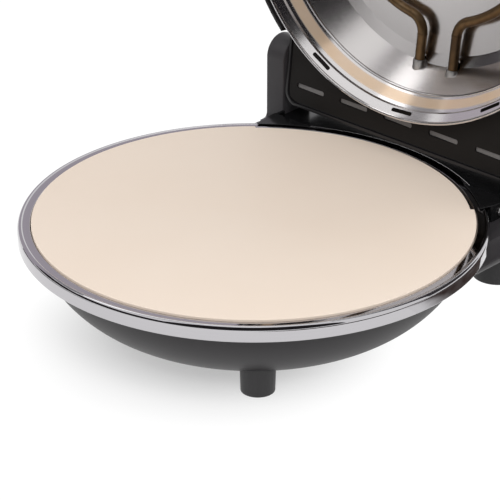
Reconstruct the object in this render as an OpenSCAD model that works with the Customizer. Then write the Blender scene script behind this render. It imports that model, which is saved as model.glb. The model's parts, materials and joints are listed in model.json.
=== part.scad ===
// Countertop pizza maker: a round base with a baking stone, and a hinged domed lid, standing open.
// The origin is the centre of the baking stone's top face, +Z is up and the front faces -Y.
// Lid parts are drawn in the closed place and turned about the hinge line by opened().

/* [Stone] */
// Radius of the baking stone
stone_r = 153.5; // [145:0.5:165]
// Thickness of the baking stone
stone_h = 10; // [8:0.5:12]
// Depth of the relief along the rear edge of the stone
stone_relief = 2.7; // [1:0.1:4]
// Half of the angle that the relief spans
stone_relief_angle = 43; // [38:1:46]

/* [Ring] */
// Radial gap between the stone and the ring
ring_gap = 0.5; // [0.3:0.1:1]
// Width of the ring from its inner edge to its outer wall
ring_w = 9; // [8:0.1:10]
// Height of the ring's outer wall
ring_h = 10.7; // [9.5:0.1:14]
// Depth of the ring's top below the stone's top
ring_drop = 0.9; // [0.8:0.1:1.5]
// Sheet thickness of the ring
ring_t = 0.8; // [0.5:0.1:1.2]
// Radius of the rounded shoulder of the ring
ring_shoulder = 3; // [2:0.1:3.5]

/* [Base] */
// Wall thickness of the moulded shells
wall = 2.2; // [1.8:0.1:3]
// Radius of the arc that curves the side of the bowl
bowl_arc_r = 79; // [76:0.5:84]
// Depth of that arc's lowest point below the bowl's flat floor
bowl_arc_low = 5.2; // [3:0.1:8]
// Inset of the bowl's side behind the ring's outer wall
bowl_inset = 10.8; // [9.8:0.1:12.3]
// Depth of the bowl's floor below the stone's top
bowl_depth = 64; // [62:0.5:70]
// Height of the bowl's floor above the table
foot_h = 12; // [10:0.5:26]
// Distance of the housing's rear wall behind the hinge line
house_reach = 23.2; // [21.4:0.2:34]
// Depth of the housing's underside below the stone's top
house_depth = 42; // [38:0.5:46]
// Radius of the housing's lower side edges
house_edge_r = 16; // [10:0.5:20]
// Radius of the housing's rear corners
house_corner_r = 22; // [12:1:26]
// Radius of a front foot's sole
front_foot_r = 11.6; // [9:0.2:14]
// Distance of a front foot's axis outside the bowl's flat floor
front_foot_out = 4.4; // [-4:0.2:8]
// Radius of a rear foot's sole
rear_foot_r = 17.5; // [14:0.5:20]
// Distance of a rear foot's axis inside the housing's side
rear_foot_in = 40.8; // [36:0.4:48]

/* [Hinge] */
// Distance of the hinge line behind the ring's outer wall
hinge_gap = 1.8; // [1.4:0.1:2.9]
// Height of the hinge line above the stone's top
hinge_z = 25; // [24:0.1:27]
// Angle between the closed lid and the open lid
open_angle = 96.6; // [90:0.1:97]
// Distance of a tower's inner face inside the stone's edge
tower_in = 42.5; // [40.5:0.1:43]
// Width of a tower
tower_w = 17.5; // [14:0.5:22]
// Half of a tower's depth, and the radius of its round top
tower_r = 15.3; // [13:0.1:16]
// Height of the centre of a tower's round top above the stone
tower_top_z = 38.5; // [34:0.5:44]
// Radius of a hinge pin
pin_r = 4; // [3:0.1:5]
// Radial running clearance on a hinge pin and on a dial shaft
run_gap = 0.05; // [0.02:0.01:0.1]

/* [Deck] */
// Radial gap between the stone and the deck's hollow front edge
deck_gap = 4.2; // [3.5:0.1:6.5]
// Distance of the deck's rear step in front of the hinge line
deck_step_in = 24.3; // [21:0.1:26]
// Depth of the trough behind that step
deck_trough = 4; // [3:0.2:6]

/* [Lid] */
// Overhang of the lid's rim beyond the ring's outer wall
lid_over = 5; // [4.5:0.1:8.7]
// Space between the reflector's middle and the lid's top
lid_space = 19.7; // [17:0.1:24]
// Height of the closed lid's lower edge above the stone
lid_edge = 1; // [0.8:0.1:2]
// Radius of the curve between the lid's side and its top
lid_arc_r = 60; // [50:0.5:64]
// Wall thickness of the lid's shell
lid_wall = 2; // [1.6:0.1:2.6]
// Side gap between the lid's box and a tower
lid_gap = 1.2; // [0.9:0.1:2]
// Distance of the lid box's rear wall behind the hinge line, with the lid closed
box_reach = 20.2; // [19.4:0.1:21.2]
// Depth of the box's top below the lid's top
box_drop = 8; // [4:0.5:12]
// Height of the closed box's lower edge above the stone
box_edge = 11.8; // [11.5:0.1:14]
// Radius of the box's upper edges
box_edge_r = 14; // [8:0.5:20]
// Radius of the box's two rear corners
box_corner_r = 11; // [9:0.5:12]

/* [Reflector] */
// Gap between the line of the reflector's rolled rim and the inside of the lid
reflector_gap = 4.1; // [3.5:0.1:5]
// Radius of the roll itself
roll_r = 1.3; // [1:0.1:1.5]
// Height of the closed reflector's rim above the stone
reflector_z = 1.8; // [1.8:0.1:2.4]
// Sheet thickness of both reflectors
sheet_t = 0.8; // [0.5:0.1:1]
// Depth of the upper reflector behind its rim
reflector_depth = 48.5; // [46:0.5:52]
// Length of a slot in the reflector's flange
flange_slot_l = 18.6; // [14:0.2:26]
// Width of a slot in the reflector's flange
flange_slot_w = 2.4; // [1.6:0.1:3.4]

/* [Elements] */
// Radius of a heating tube
tube_r = 3.7; // [3:0.1:4]
// Distance of the line of a heating loop inside the stone's edge
loop_in = 58.5; // [56:0.5:74]
// Radius of the bend between a loop and its leg
leg_bend_r = 14; // [10:0.5:16]
// Place of the left leg, across the part
leg_left_x = -4; // [-8:0.5:-2]
// Place of the right leg, across the part
leg_right_x = 27; // [20:0.5:32]
// Height of the lower loop's line above the floor of its pan
lower_loop_gap = 11; // [8.5:0.5:13]
// Height of the upper loop's line below the ceiling of its reflector
upper_loop_gap = 7.8; // [5.5:0.1:10]

/* [Vents] */
// Number of slots in the vent panel
vent_count = 5; // [3:1:5]
// Distance of the outer slots' middles from the panel's sides
vent_margin = 20.7; // [18:0.1:30]
// Length of a vent slot
vent_l = 27; // [20:0.5:30]
// Width of a vent slot
vent_w = 3.8; // [3:0.1:5]
// Distance of the row of slots behind the hinge line, with the lid closed
vent_back = 3.7; // [2:0.1:6]

/* [Controls] */
// Distance of each dial from the middle
dial_x = 46; // [40:0.5:60]
// Radius of a dial
dial_r = 14; // [12:0.5:15]
// Height of a dial
dial_h = 13; // [9:0.5:16]
// Gap between the dials' fascia and the dome
fascia_gap = 0.6; // [0.3:0.1:1]

/* [Handle] */
// Distance of the grip's middle line outside the lid's rim
grip_out = 29; // [24:0.5:38]
// Half of the angle that the handle spans
grip_angle = 21; // [16:0.5:26]
// Thickness of the grip
grip_t = 14; // [11:0.5:18]
// Height of the grip from edge to edge
grip_h = 20; // [16:0.5:26]
// Height of the closed lid's grip above the stone
grip_z = 24; // [20:0.5:30]

/* [Cord entry] */
// Radius of the hole for the mains lead
cord_hole_r = 3.6; // [3:0.1:4.5]

/* [Hidden] */
$fn = 96;
eps = 0.01;
big = 500;

charcoal = "#3c3b3c";
gloss_black = "#141414";
steel = "#c9c7c6";
bright = "#e2e1e3";
bronze = "#5b4833";
stone_cream = "#e7dbcb";
rubber_black = "#262526";
white_plastic = "#dcd9d2";

// Ring and rim
ring_in_r = stone_r + ring_gap;
ring_out_r = ring_in_r + ring_w;
ring_top = -ring_drop;
ring_bottom = ring_top - ring_h;
lip_r = 0.9;
ledge_gap = 0.8;
ledge_z = ring_bottom - ledge_gap;
rim_top = ring_top - ring_t;
rim_clear = 0.1;
rim_w = 3;
rim_out_r = ring_out_r - ring_shoulder - rim_clear;
rim_in_r = rim_out_r - rim_w;

// Bowl and housing
bowl_side_r = ring_out_r - bowl_inset;
bowl_arc_z = bowl_arc_r - bowl_depth - bowl_arc_low;
bowl_arc_x = bowl_side_r - sqrt(pow(bowl_arc_r, 2) - pow(bowl_arc_z - ledge_z, 2));
bowl_floor_r = bowl_arc_x + sqrt(pow(bowl_arc_r, 2) - pow(bowl_arc_z + bowl_depth, 2));
bowl_floor = -bowl_depth;
front_foot_reach = bowl_floor_r + front_foot_out;
hinge_y = ring_out_r + hinge_gap;
tower_x = stone_r - tower_in;
house_half_w = tower_x + tower_w;
house_back = hinge_y + house_reach;
rear_foot_x = house_half_w - rear_foot_in;
house_floor = -house_depth;
house_front = hinge_y - 104.8;
house_gap = 0.3;
deck_open_y = hinge_y - 44.8;
window_half = 45;
window_low = -36;
window_h = 20;
table_z = bowl_floor - foot_h;
seat_z = -stone_h;
shelf_z = seat_z - sheet_t;
shelf_in_r = bowl_side_r - 1.6 * wall;
deck_side_x = tower_x;
deck_opening_x = deck_side_x - 2 * wall;
tower_front = hinge_y - tower_r;
tower_rear = hinge_y + tower_r;

// Reflector pan, shield and their posts
pan_depth = 33;
pan_floor_r = stone_r - 21.5;
pan_side_r = stone_r - 5.5;
loop_r = stone_r - loop_in;
post_reach = loop_r - 25;
post_r = 5;
screw_r = 1.9;
screw_gap = 0.1;
screw_head_r = 3.6;
screw_head_h = 2;
shield_r = stone_r - 45.5;
shield_z = bowl_floor + 18;
post_angles = [90, 210, 330];

// Lid box and reflector
lid_r = ring_out_r + lid_over;
reflector_r = lid_r - lid_wall - reflector_gap;
reflector_top = reflector_z + reflector_depth;
lid_top = reflector_top + lid_space;
lid_side_z = lid_top - lid_arc_r;
grip_r = lid_r + grip_out;
box_top = lid_top - box_drop;
box_back = hinge_y + box_reach;
box_x = tower_x - lid_gap;
box_in_x = box_x - lid_wall;
box_front = hinge_y - 104.8;
panel_gap = 1.5;
panel_t = 2;
panel_z = box_edge + 0.5;
panel_x = box_in_x - panel_gap;
panel_back = box_back - lid_wall - panel_gap;
vent_pitch = 2 * (panel_x - vent_margin) / max(vent_count - 1, 1);
vent_y = hinge_y + vent_back;
rib_w = 4;
ledge_w = 5;
flange_in_r = reflector_r - 6.3;
bead_r = 1.1;
bead_ring_r = reflector_r - 16.9;
bead_z = 15.9;
collar_gap = 0.8;
// Radius at which the outside of the collar's cone passes a height.
function collar_r(z) = flange_in_r - 0.7
    - (z - reflector_z - 6 - sheet_t) * (flange_in_r - 0.7 - bead_ring_r) / (bead_z - 6);
panel_inner_r = collar_r(panel_z) + collar_gap;
panel_front = sqrt(pow(panel_inner_r, 2) - pow(panel_x, 2)) - 1;
fold_r = bead_ring_r - 25;
fold_z = reflector_depth - 8.5;
dish_side_r = bead_ring_r - 17;
dish_side_z = fold_z - 4;
// Height of the reflector's ceiling above its rim, from its outer fold to its middle.
function ceiling_z(r) = reflector_depth - (reflector_depth - fold_z) * r / fold_r;
upper_loop_depth = ceiling_z(loop_r) - upper_loop_gap;
lower_loop_depth = pan_depth - lower_loop_gap;
flange_slots = 12;
flange_slot_turn = -3.3;
flange_slot_r = reflector_r - 4.4;
upper_loop_z = reflector_z + upper_loop_depth;
lower_loop_z = -lower_loop_depth;
leg_end_y = hinge_y - 14.8;
boss_r = 8;
bush_r = 5.5;
bush_in_x = box_x - 11;
bush_flange_t = 0.7;
shaft_r = 3;
fascia_t = 1.2;
fascia_x = box_x - box_edge_r - 7.8;
fascia_w = 32;
dial_y = lid_r - lid_arc_r + sqrt(pow(lid_arc_r, 2) - pow(box_top - lid_side_z, 2))
    + fascia_w / 2 + fascia_gap;
dial_gap = 0.6;
knob_floor = box_top + fascia_t + dial_gap;
lamp_r = 3;
lamp_x = 9;
front_foot_angle = 45;
// Housing cover, cord gland and wiring
cover_lap = 6;
cover_screw_in = 8;
cover_x = rear_foot_x - rear_foot_r - cover_lap - 2.2;
cover_y0 = hinge_y - 17.8;
cover_y1 = hinge_y + 11.2;
cover_t = 1.1;
gland_x = -75;
gland_z = -27;
gland_r = 6;
gland_neck_r = 5;
gland_out = 9;
gland_flange_t = 2;
block_l = 56;
block_w = 16;
block_h = 14;
block_x = 20;
block_y = hinge_y + 1.2;
block_z = house_floor + wall;
wire_r = 1.3;
wire_joint_r = wire_r + 0.3;
wire_z = block_z + 7;

// Deck and its screws
deck_r = stone_r + deck_gap;
deck_step_y = hinge_y - deck_step_in;
deck_screw_z = -7;
deck_screw_l = 7;
deck_block_l = 6;
deck_block_w = 8;
deck_front_x = deck_side_x - 4;
deck_lip_t = 0.7;
deck_t = 3;
deck_front_y = sqrt(pow(deck_r, 2) - pow(deck_front_x, 2));
skirt_front_y = sqrt(pow(ring_out_r + lip_r + 0.3, 2) - pow(deck_side_x - wall, 2)) + 1;
deck_screw_y = skirt_front_y + 9.3;
trough_back = house_back - wall - 0.5;
ring_inner_h = 5;

// Feet
foot_head_z = table_z + 6;

// Loops, their clips and seals
joint_r = tube_r + 0.2;
gland_hole_r = tube_r + 2;
ferrule_hole_r = tube_r + 1.2;
clip_angles = [0, 180, 270];
clip_w = 8;
clip_t = 1;
tube_gap = 0.15;
function bend_y(x) = sqrt(pow(loop_r + leg_bend_r, 2) - pow(x, 2));
upper_clip_h = ceiling_z(loop_r) - upper_loop_depth - 0.3;

// Lid, its posts, rib and baffle
pin_in_x = box_x - 10;
lid_post_reach = loop_r + 13;
lid_post_angles = [30, 150, 270];
lid_post_z = reflector_z + ceiling_z(lid_post_reach - post_r) + sheet_t;
lid_ledge_z = reflector_z + roll_r;
rib_front_y = hinge_y - 30.8;
panel_corner_r = box_corner_r - lid_wall - panel_gap;
baffle_t = 0.8;
insulation_r = loop_r + 3;
insulation_t = 8;

// Controls, wires and handle screws
control_w = 30;
control_h = 16;
shaft_depth = 12;
bar_w = 8;
lid_wire_z = box_top - lid_wall - control_h - 3;
wire_y = leg_end_y + 3;
handle_screw_bite = 12;
handle_screw_in_r = lid_r - lid_arc_r
    + sqrt(pow(lid_arc_r - lid_wall, 2) - pow(grip_z + screw_head_r - lid_side_z, 2));

// The children and their mirror image across the middle plane.
module both_sides() {
    children();
    mirror([1, 0, 0]) children();
}

// Turns a piece of the closed lid into its open place.
module opened() {
    translate([0, hinge_y, hinge_z]) rotate([-open_angle, 0, 0])
        translate([0, -hinge_y, -hinge_z]) children();
}

// A bar along X with its section drawn in (Y, Z).
module along_x(x0, x1) {
    translate([x0, 0, 0]) rotate([90, 0, 90]) linear_extrude(x1 - x0) children();
}

// A cylinder along X through a point in (Y, Z).
module rod_x(r, x0, x1, y, z) {
    translate([x0, y, z]) rotate([0, 90, 0]) cylinder(r = r, h = x1 - x0);
}

// A cylinder along Y through a point in (X, Z).
module rod_y(r, y0, y1, x, z) {
    translate([x, y1, z]) rotate([90, 0, 0]) cylinder(r = r, h = y1 - y0);
}

module rod_z(r, z0, z1) {
    translate([0, 0, z0]) cylinder(r = r, h = z1 - z0);
}

// A rectangle with its two lower corners rounded, from -half to half and from low to high.
module trough_section(half, low, high, r) {
    translate([-half, low + r]) square([2 * half, high - low - r]);
    translate([-half + r, low]) square([2 * (half - r), r + eps]);
    for (side = [-1, 1]) translate([side * (half - r), low + r]) circle(r);
}

// A rectangle from -half to half, whose far corners are rounded.
module plan_section(half, near, far, r) {
    translate([-half, near]) square([2 * half, far - near - r]);
    translate([-half + r, near]) square([2 * (half - r), far - near]);
    for (side = [-1, 1]) translate([side * (half - r), far - r]) circle(r);
}

// Points of an arc about a centre, from one angle to another.
function arc_points(centre, r, from, to) =
    [for (a = [from:(to - from) / 14:to + 0.01]) centre + r * [cos(a), sin(a)]];

// The section of a sheet along points of (radius, height), with its other face a thickness higher.
module sheet_section(points, t) {
    polygon(concat(points, [for (i = [len(points) - 1:-1:0]) points[i] + [0, t]]));
}

// The solid inside the bowl's outer surface, or inside its inner one when inset by a wall.
module bowl_solid(inset, floor_z, top_z) {
    rotate_extrude() intersection() {
        union() {
            translate([bowl_arc_x, bowl_arc_z]) circle(bowl_arc_r - inset, $fn = 192);
            translate([0, floor_z]) square([bowl_arc_x, top_z - floor_z]);
        }
        translate([0, floor_z]) square([bowl_arc_x + bowl_arc_r, top_z - floor_z]);
    }
}

module house_solid(inset, floor_z, top_z) {
    intersection() {
        translate([0, big, 0]) rotate([90, 0, 0]) linear_extrude(big)
            trough_section(house_half_w - inset, floor_z, big, house_edge_r - inset);
        translate([0, 0, floor_z - 1]) linear_extrude(top_z - floor_z + 1)
            plan_section(house_half_w - inset, house_front, house_back - inset,
                house_corner_r - inset);
    }
}

module tower_section(inset, low) {
    translate([tower_front + inset, low]) square([2 * (tower_r - inset), tower_top_z - low]);
    translate([hinge_y, tower_top_z]) circle(tower_r - inset);
}

// The stepped rim that carries the ring and the pan's lip.
module rim() {
    rotate_extrude() polygon([[shelf_in_r, ledge_z], [rim_out_r, ledge_z], [rim_out_r, rim_top],
        [rim_in_r, rim_top], [rim_in_r, shelf_z], [shelf_in_r, shelf_z]]);
}

module cover_plan(grow) {
    translate([-cover_x - grow, cover_y0 - grow])
        square([2 * (cover_x + grow), cover_y1 - cover_y0 + 2 * grow]);
}

module at_posts() {
    for (a = post_angles) rotate(a) translate([post_reach, 0, 0]) children();
}

module at_cover_screws() {
    for (x = [-1, 1], y = [cover_y0, cover_y1])
        translate([x * (cover_x - cover_screw_in), y + (y == cover_y0 ? -0.5 : 0.5) * cover_lap, 0]) children();
}

module at_front_foot() {
    rotate(-90 + front_foot_angle) translate([front_foot_reach, 0, 0]) children();
}

module at_rear_foot() {
    translate([rear_foot_x, hinge_y - 1.3, 0]) children();
}

// The bowl with its rim: a window in its rear wall lets the legs and wires through.
module base_bowl() color(charcoal) difference() {
    union() {
        difference() {
            bowl_solid(0, bowl_floor, ledge_z);
            bowl_solid(wall, bowl_floor + wall, ledge_z + 1);
        }
        rim();
        at_posts() rod_z(post_r, bowl_floor + wall / 2, shield_z);
    }
    translate([-window_half, bowl_floor_r, window_low]) cube([2 * window_half, house_back, window_h]);
    both_sides() at_front_foot() rod_z(screw_r + screw_gap, table_z, 0.5 * bowl_floor);
    at_posts() rod_z(screw_r + screw_gap, bowl_floor + 2 * wall, 0);
}

// The box behind the bowl, open under the deck.
module rear_housing() color(charcoal) difference() {
    union() {
        difference() {
            house_solid(0, house_floor, ledge_z);
            house_solid(wall, house_floor + wall, ledge_z - wall);
            translate([-deck_opening_x, deck_open_y, ledge_z - wall - 1])
                cube([2 * deck_opening_x, house_back - house_corner_r / 2 - deck_open_y, wall + 2]);
            translate([0, 0, house_floor - 1]) linear_extrude(wall + 2) cover_plan(0);
            translate([0, 0, house_floor - 1]) linear_extrude(1 + cover_t) cover_plan(cover_lap);
        }
        both_sides() translate([deck_opening_x - deck_block_l, deck_screw_y - deck_block_w / 2,
            ledge_z - wall]) cube([deck_block_l + wall - house_gap, deck_block_w,
            wall - ledge_z - deck_t - house_gap]);
    }
    bowl_solid(-house_gap, bowl_floor, ledge_z + 1);
    both_sides() {
        rod_x(screw_r + screw_gap, deck_side_x - 20, deck_side_x, deck_screw_y, deck_screw_z);
        at_rear_foot() rod_z(screw_r + screw_gap, table_z, house_floor + wall + 1);
    }
    at_cover_screws() rod_z(screw_r + screw_gap, house_floor - 1, house_floor + wall + 1);
    rod_y(gland_neck_r, house_back - 2 * wall, house_back + 1, gland_x, gland_z);
}

// A hollow tower that stands on the housing, with a boss inside for the hinge pin.
module hinge_tower() color(charcoal) difference() {
    union() {
        difference() {
            along_x(tower_x, house_half_w) tower_section(0, ledge_z);
            along_x(tower_x + wall, house_half_w - wall) tower_section(wall, ledge_z - 1);
        }
        rod_x(boss_r, tower_x, house_half_w - wall, hinge_y, hinge_z);
    }
    rod_x(pin_r, tower_x - 1, house_half_w - wall, hinge_y, hinge_z);
}
module hinge_tower_right() hinge_tower();
module hinge_tower_left() mirror([1, 0, 0]) hinge_tower();

// Section of the ring's outside, inset by a wall for its inside.
module ring_section(inset) {
    shoulder_x = ring_out_r - ring_shoulder;
    shoulder_z = ring_top - ring_shoulder;
    low = ring_bottom - (inset > 0 ? 1 : 0);
    translate([ring_in_r + inset, low]) square([shoulder_x - ring_in_r - inset, ring_top - inset - low]);
    translate([ring_in_r + inset, low]) square([ring_w - 2 * inset, shoulder_z - low]);
    translate([shoulder_x, shoulder_z]) circle(ring_shoulder - inset, $fn = 48);
}

module chrome_ring() color(bright) rotate_extrude() {
    difference() {
        ring_section(0);
        ring_section(ring_t);
        translate([0, ring_bottom - 1]) square([ring_in_r + 2 * ring_t, ring_h - ring_inner_h + 1]);
    }
    translate([ring_out_r - 0.4, ring_bottom + lip_r]) circle(lip_r, $fn = 32);
}

// The deck's plan in front of its step, with its hollow edge along the ring.
module deck_plan() {
    difference() {
        polygon([[-deck_front_x, deck_front_y - 20], [deck_front_x, deck_front_y - 20],
            [deck_front_x, deck_front_y], [deck_side_x, deck_front_y + 12],
            [deck_side_x, deck_step_y], [-deck_side_x, deck_step_y],
            [-deck_side_x, deck_front_y + 12], [-deck_front_x, deck_front_y]]);
        circle(deck_r, $fn = 192);
    }
}

module hinge_deck() color(gloss_black) difference() {
    union() {
        translate([0, 0, -deck_t]) linear_extrude(deck_t) deck_plan();
        both_sides() translate([deck_side_x - wall, skirt_front_y, ledge_z])
            cube([wall, tower_front - 0.4 - skirt_front_y, -ledge_z]);
        translate([-deck_side_x, deck_step_y - wall, -deck_trough - wall])
            cube([2 * deck_side_x, wall, deck_trough + wall]);
        translate([-deck_side_x, deck_step_y - wall, -deck_trough - wall])
            cube([2 * deck_side_x, tower_front - 0.4 - deck_step_y + wall, wall]);
        translate([-tower_x + 0.3, deck_step_y - wall, -deck_trough - wall])
            cube([2 * (tower_x - 0.3), trough_back - deck_step_y + wall, wall]);
        translate([-tower_x + 0.3, trough_back - wall, ledge_z])
            cube([2 * (tower_x - 0.3), wall, -deck_trough - ledge_z]);
    }
    rod_z(deck_r, ledge_z - 1, 1);
    rod_z(ring_out_r + lip_r + 0.3, ledge_z - 1, -deck_lip_t);
    both_sides() rod_x(screw_r + screw_gap, deck_side_x - 20, deck_side_x + 1,
        deck_screw_y, deck_screw_z);
}

module deck_screws() color(bright) both_sides() {
    rod_x(screw_r, deck_side_x - deck_screw_l, deck_side_x, deck_screw_y, deck_screw_z);
    rod_x(2.6, deck_side_x, deck_side_x + 1.8, deck_screw_y, deck_screw_z);
}

module reflector_pan() color(steel) difference() {
    rotate_extrude() sheet_section([[0, -pan_depth - sheet_t], [pan_floor_r, -pan_depth - sheet_t],
        [pan_side_r, shelf_z], [rim_in_r - 0.4, shelf_z]], sheet_t);
    for (x = [leg_left_x, leg_right_x])
        rod_y(gland_hole_r, pan_floor_r - 20, pan_side_r + 10, x, lower_loop_z);
    at_posts() rod_z(screw_r + screw_gap, -pan_depth - 2, -pan_depth + 1);
}

module pan_screws() color(steel) at_posts() {
    rod_z(screw_r, shield_z - 8, -pan_depth);
    rod_z(screw_head_r, -pan_depth, -pan_depth + screw_head_h);
}

module pan_spacers() color(steel) at_posts() difference() {
    rod_z(post_r, shield_z + sheet_t, -pan_depth - sheet_t);
    rod_z(screw_r + screw_gap, shield_z, -pan_depth);
}

module heat_shield() color(steel) difference() {
    rod_z(shield_r, shield_z, shield_z + sheet_t);
    at_posts() rod_z(screw_r + screw_gap, shield_z - 1, shield_z + 2);
}

// The slight swelling where two bends of a tube meet, with its poles on the tube's line.
module loop_joint() {
    rotate([90, 0, 0]) sphere(joint_r, $fn = 32);
}

// A heating loop round the Z axis with two straight legs that leave to the rear.
module heating_loop() {
    right_x = leg_right_x + leg_bend_r;
    left_x = leg_left_x - leg_bend_r;
    right_a = atan2(bend_y(right_x), right_x);
    left_a = atan2(bend_y(left_x), left_x);
    rotate(left_a) rotate_extrude(angle = 360 - left_a + right_a)
        translate([loop_r, 0]) circle(tube_r, $fn = 32);
    translate([right_x, bend_y(right_x), 0]) rotate(180) rotate_extrude(angle = right_a)
        translate([leg_bend_r, 0]) circle(tube_r, $fn = 32);
    translate([left_x, bend_y(left_x), 0]) rotate(left_a - 180) rotate_extrude(angle = 180 - left_a)
        translate([leg_bend_r, 0]) circle(tube_r, $fn = 32);
    rod_y(tube_r, bend_y(right_x), leg_end_y, leg_right_x, 0);
    rod_y(tube_r, bend_y(left_x), leg_end_y, leg_left_x, 0);
    for (a = [left_a, right_a]) rotate(a) translate([loop_r, 0, 0]) loop_joint();
    translate([leg_right_x, bend_y(right_x), 0]) loop_joint();
    translate([leg_left_x, bend_y(left_x), 0]) loop_joint();
}

module lower_element() color(bronze) translate([0, 0, lower_loop_z]) heating_loop();

// A strap that stands on a sheet and holds the heating tube in a round eye.
module loop_clip(base_h) {
    rotate([90, 0, 0]) translate([0, 0, -clip_w / 2]) linear_extrude(clip_w) difference() {
        union() {
            circle(tube_r + tube_gap + clip_t, $fn = 32);
            translate([-clip_t / 2, -base_h]) square([clip_t, base_h]);
            translate([-5, -base_h]) square([10, clip_t]);
        }
        circle(tube_r + tube_gap, $fn = 32);
    }
}

module lower_element_clips() color(steel) translate([0, 0, lower_loop_z])
    for (a = clip_angles) rotate(a) translate([loop_r, 0, 0]) loop_clip(pan_depth - lower_loop_depth);

// Collars round the legs where they pass a sheet.
module leg_glands(r, y0, y1) {
    for (x = [leg_left_x, leg_right_x]) difference() {
        rod_y(r, y0, y1, x, 0);
        rod_y(tube_r + tube_gap, y0 - 1, y1 + 1, x, 0);
    }
}

module lower_element_glands() color(white_plastic) translate([0, 0, lower_loop_z])
    leg_glands(gland_hole_r - 0.1, pan_floor_r - 1, pan_side_r + 1);

module foot_solid(r_sole, r_top, top_z, head_z) {
    difference() {
        translate([0, 0, table_z]) cylinder(r1 = r_sole, r2 = r_top, h = top_z - table_z);
        rod_z(screw_r + screw_gap, table_z, top_z + 1);
        rod_z(screw_head_r + 1.4, table_z - 1, head_z);
    }
}

module front_foot() color(rubber_black) difference() {
    at_front_foot() foot_solid(front_foot_r, front_foot_r + 0.8, bowl_floor + 14, foot_head_z);
    bowl_solid(0, bowl_floor, ledge_z);
}

module rear_foot() color(rubber_black)
    at_rear_foot() foot_solid(rear_foot_r, rear_foot_r, house_floor, foot_head_z);

module foot_front_right() front_foot();
module foot_front_left() mirror([1, 0, 0]) front_foot();
module foot_rear_right() rear_foot();
module foot_rear_left() mirror([1, 0, 0]) rear_foot();

module foot_screws() color(steel) both_sides() {
    at_front_foot() foot_screw(bowl_floor + 12);
    at_rear_foot() foot_screw(house_floor + wall + 4);
}

module foot_screw(tip_z) {
    rod_z(screw_r, foot_head_z, tip_z);
    rod_z(screw_head_r, foot_head_z - screw_head_h, foot_head_z);
}

module wiring_cover() color(charcoal) difference() {
    union() {
        translate([0, 0, house_floor]) linear_extrude(cover_t) cover_plan(cover_lap - 0.2);
        translate([0, 0, house_floor + cover_t - eps]) linear_extrude(wall - cover_t) cover_plan(-0.2);
    }
    at_cover_screws() rod_z(screw_r + screw_gap, house_floor - 1, house_floor + wall);
}

module cover_screws() color(steel) at_cover_screws() {
    rod_z(screw_r, house_floor, house_floor + wall + 3);
    rod_z(2.6, house_floor - 1.6, house_floor);
}

module cord_gland() color(rubber_black) difference() {
    union() {
        rod_y(gland_r, house_back, house_back + gland_out, gland_x, gland_z);
        rod_y(gland_neck_r, house_back - wall, house_back + eps, gland_x, gland_z);
        rod_y(gland_r + 1, house_back - wall - gland_flange_t, house_back - wall, gland_x, gland_z);
        rod_y(gland_r + 2, house_back, house_back + gland_flange_t, gland_x, gland_z);
    }
    rod_y(cord_hole_r, house_back - 20, house_back + 20, gland_x, gland_z);
}

module terminal_block() color(white_plastic) difference() {
    translate([block_x - block_l / 2, block_y - block_w / 2, block_z]) cube([block_l, block_w, block_h]);
    for (i = [-1.5:1:1.5]) translate([block_x + i * 13, block_y, 0])
        rod_z(2.4, block_z + block_h - 5, block_z + block_h + 1);
}

// Wires from the block to the two legs of the lower loop, square to the block's face.
module base_wires() color("#9a3b2a") for (x = [leg_left_x, leg_right_x]) {
    rod_y(wire_r, leg_end_y, wire_y, x, lower_loop_z);
    translate([x, wire_y, lower_loop_z]) sphere(wire_joint_r, $fn = 32);
    translate([x, wire_y, 0]) rod_z(wire_r, wire_z, lower_loop_z);
    translate([x, wire_y, wire_z]) sphere(wire_joint_r, $fn = 32);
    rod_y(wire_r, wire_y, block_y - block_w / 2, x, wire_z);
}

module hinge_pin() color(steel) rod_x(pin_r, pin_in_x, house_half_w - wall, hinge_y, hinge_z);
module hinge_pin_right() hinge_pin();
module hinge_pin_left() mirror([1, 0, 0]) hinge_pin();

// The stone: a disc with a relieved arc along its rear edge.
module baking_stone() color(stone_cream) translate([0, 0, -stone_h]) linear_extrude(stone_h)
    difference() {
        circle(stone_r, $fn = 192);
        difference() {
            polygon([[0, 0], for (a = [90 - stone_relief_angle:2:90 + stone_relief_angle])
                2 * stone_r * [cos(a), sin(a)]]);
            circle(stone_r - stone_relief, $fn = 192);
        }
    }

// The lid's outer dome, or its inside when inset.
module dome_solid(inset, low) {
    rotate_extrude() {
        intersection() {
            translate([lid_r - lid_arc_r, lid_side_z]) circle(lid_arc_r - inset, $fn = 192);
            translate([0, lid_side_z]) square([lid_r, lid_arc_r]);
        }
        translate([0, low]) square([lid_r - inset, lid_side_z - low]);
        translate([0, low]) square([lid_r - lid_arc_r, lid_top - inset - low]);
    }
}

module box_solid(inset, low) {
    intersection() {
        translate([0, big, 0]) rotate([90, 0, 0]) linear_extrude(big)
            mirror([0, 1]) trough_section(box_x - inset, -box_top + inset, -low, box_edge_r - inset);
        along_x(-box_x, box_x) translate([0, low]) union() {
            square([box_back - inset - box_edge_r, box_top - low - inset]);
            square([box_back - inset, box_top - low - box_edge_r]);
            translate([box_back - box_edge_r, box_top - low - box_edge_r]) circle(box_edge_r - inset);
        }
        linear_extrude(big) plan_section(box_x - inset, box_front, box_back - inset,
            box_corner_r - inset);
    }
}

module at_lid_posts() {
    for (a = lid_post_angles) rotate(a) translate([lid_post_reach, 0, 0]) children();
}

module at_handle_ends() {
    for (side = [-1, 1]) rotate(-90 + side * (grip_angle - 3)) children();
}

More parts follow.
